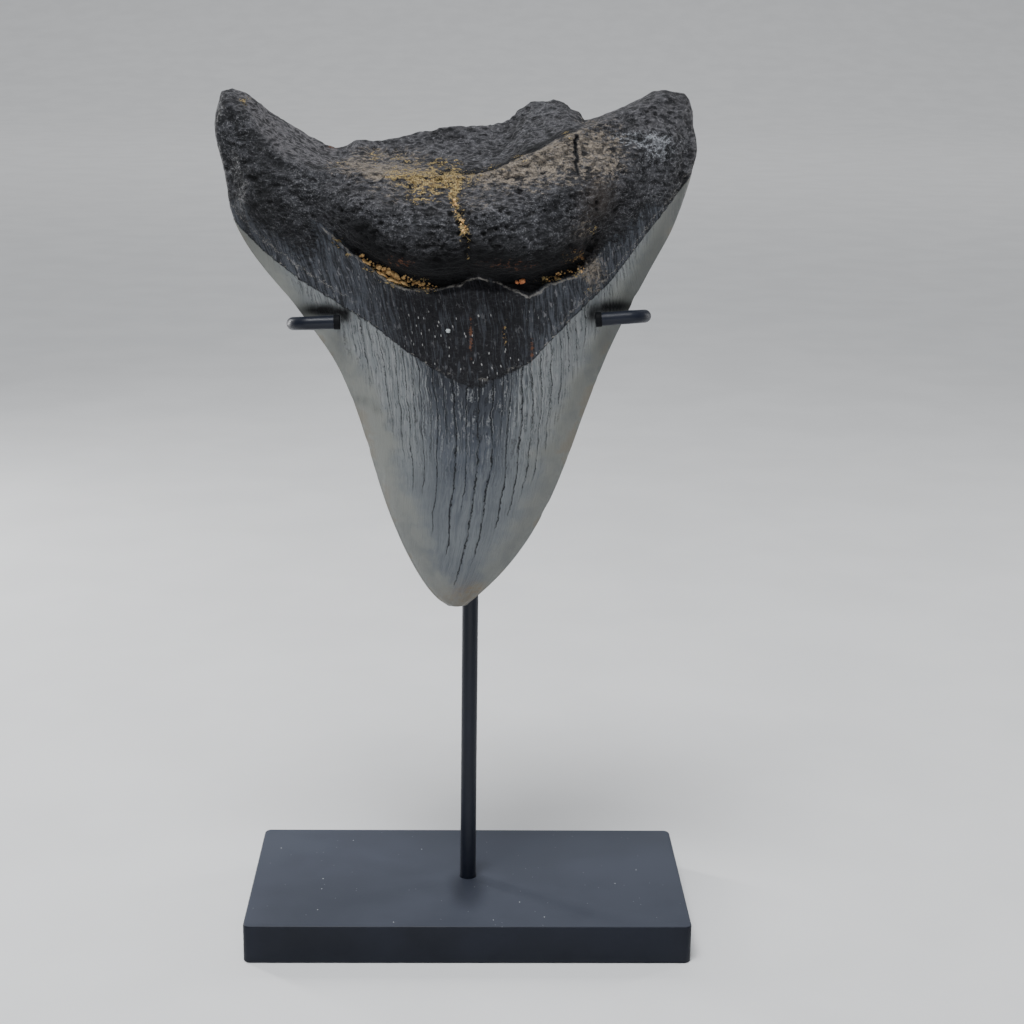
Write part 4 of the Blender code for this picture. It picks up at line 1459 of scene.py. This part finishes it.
def crumb_at(place, sizes, turn):
    """A dented copy of the grain, of three half sizes in mm, turned and half sunk in the surface."""
    crumb = bpy.data.objects.new("crumb", plain_grain.data.copy())
    bpy.context.scene.collection.objects.link(crumb)
    offset = Vector(scatter_rng.uniform(-9.0, 9.0, 3))
    for vertex in crumb.data.vertices:
        vertex.co *= 1.0 + 0.55 * noise.noise(vertex.co * 1.6 + offset)
    scale = Matrix.Diagonal((*(Vector(sizes) * MM), 1.0))
    crumb.data.transform(Matrix.Translation(place) @ Euler(turn).to_matrix().to_4x4() @ scale)
    return crumb


def loose_crumb(place, radius):
    """A grain of uneven sizes, turned at random."""
    sizes = scatter_rng.uniform(0.55, 1.25, 3) * radius
    return crumb_at(place, sizes, scatter_rng.uniform(0.0, 2.0 * math.pi, 3))


# %% Where the crumbs lie
CRUMB_RUNS = [
    ((-26.5, 84.6), (-22.5, 82.5), 8, 0.50),
    ((-21.6, 82.0), (-18.6, 81.0), 6, 0.95),
    ((-19.6, 80.7), (-14.5, 78.7), 9, 0.80),
    ((-21.0, 80.8), (-11.0, 77.8), 34, 0.42),
    ((-14.0, 78.7), (-9.0, 77.5), 16, 0.34),
    ((16.0, 79.2), (26.0, 82.2), 26, 0.32),
    ((-5.0, 98.6), (-3.6, 95.4), 9, 0.46),
    ((-2.6, 93.2), (-1.9, 90.2), 10, 0.50),
]
RUN_SPREAD = 0.42
FLAKES = [
    (-20.6, 80.3, 1.5, 0.50), (-17.9, 78.8, 1.9, 0.30), (-15.6, 78.3, 1.1, 0.55), (-24.2, 82.8, 1.1, 0.45),
]  # fmt: skip
print("crumbs in runs:", sum(count for _, _, count, _ in CRUMB_RUNS), "flakes:", len(FLAKES))


# %% Scatter the crumbs
def join_crumbs(name, crumbs, material):
    """Makes one piece of all the crumbs of one colour."""
    only(crumbs[0])
    for crumb in crumbs:
        crumb.select_set(True)
    bpy.ops.object.join()
    joined = bpy.context.object
    bpy.ops.object.shade_smooth()
    settle(joined, name, material)


ochre_crumbs = []
for run_start, run_end, count, largest in CRUMB_RUNS:
    for _ in range(count):
        share = scatter_rng.uniform(0.0, 1.0)
        on_run = np.array(run_start) * (1 - share) + np.array(run_end) * share
        place = front_spot(*(on_run + scatter_rng.normal(0.0, RUN_SPREAD, 2)))
        if place is not None:
            ochre_crumbs.append(loose_crumb(place, scatter_rng.uniform(0.35, 1.0) * largest))
for flake_across, flake_up, half_length, slope in FLAKES:
    place = front_spot(flake_across, flake_up)
    ochre_crumbs.append(crumb_at(place, (half_length, 0.45, 0.38), (0.3, slope, 0.0)))
join_crumbs("ochre_sediment", ochre_crumbs, ochre_clay)
orange_crumbs = [loose_crumb(front_spot(11.1, 79.0), 0.85), loose_crumb(front_spot(10.0, 78.8), 0.5)]
orange_crumbs.append(loose_crumb(front_spot(-19.4, 81.0), 0.70))
join_crumbs("orange_grain", orange_crumbs, orange_clay)
join_crumbs("pale_grain", [loose_crumb(front_spot(-5.7, 67.8), 0.50)], pale_clay)
bpy.data.objects.remove(plain_grain)
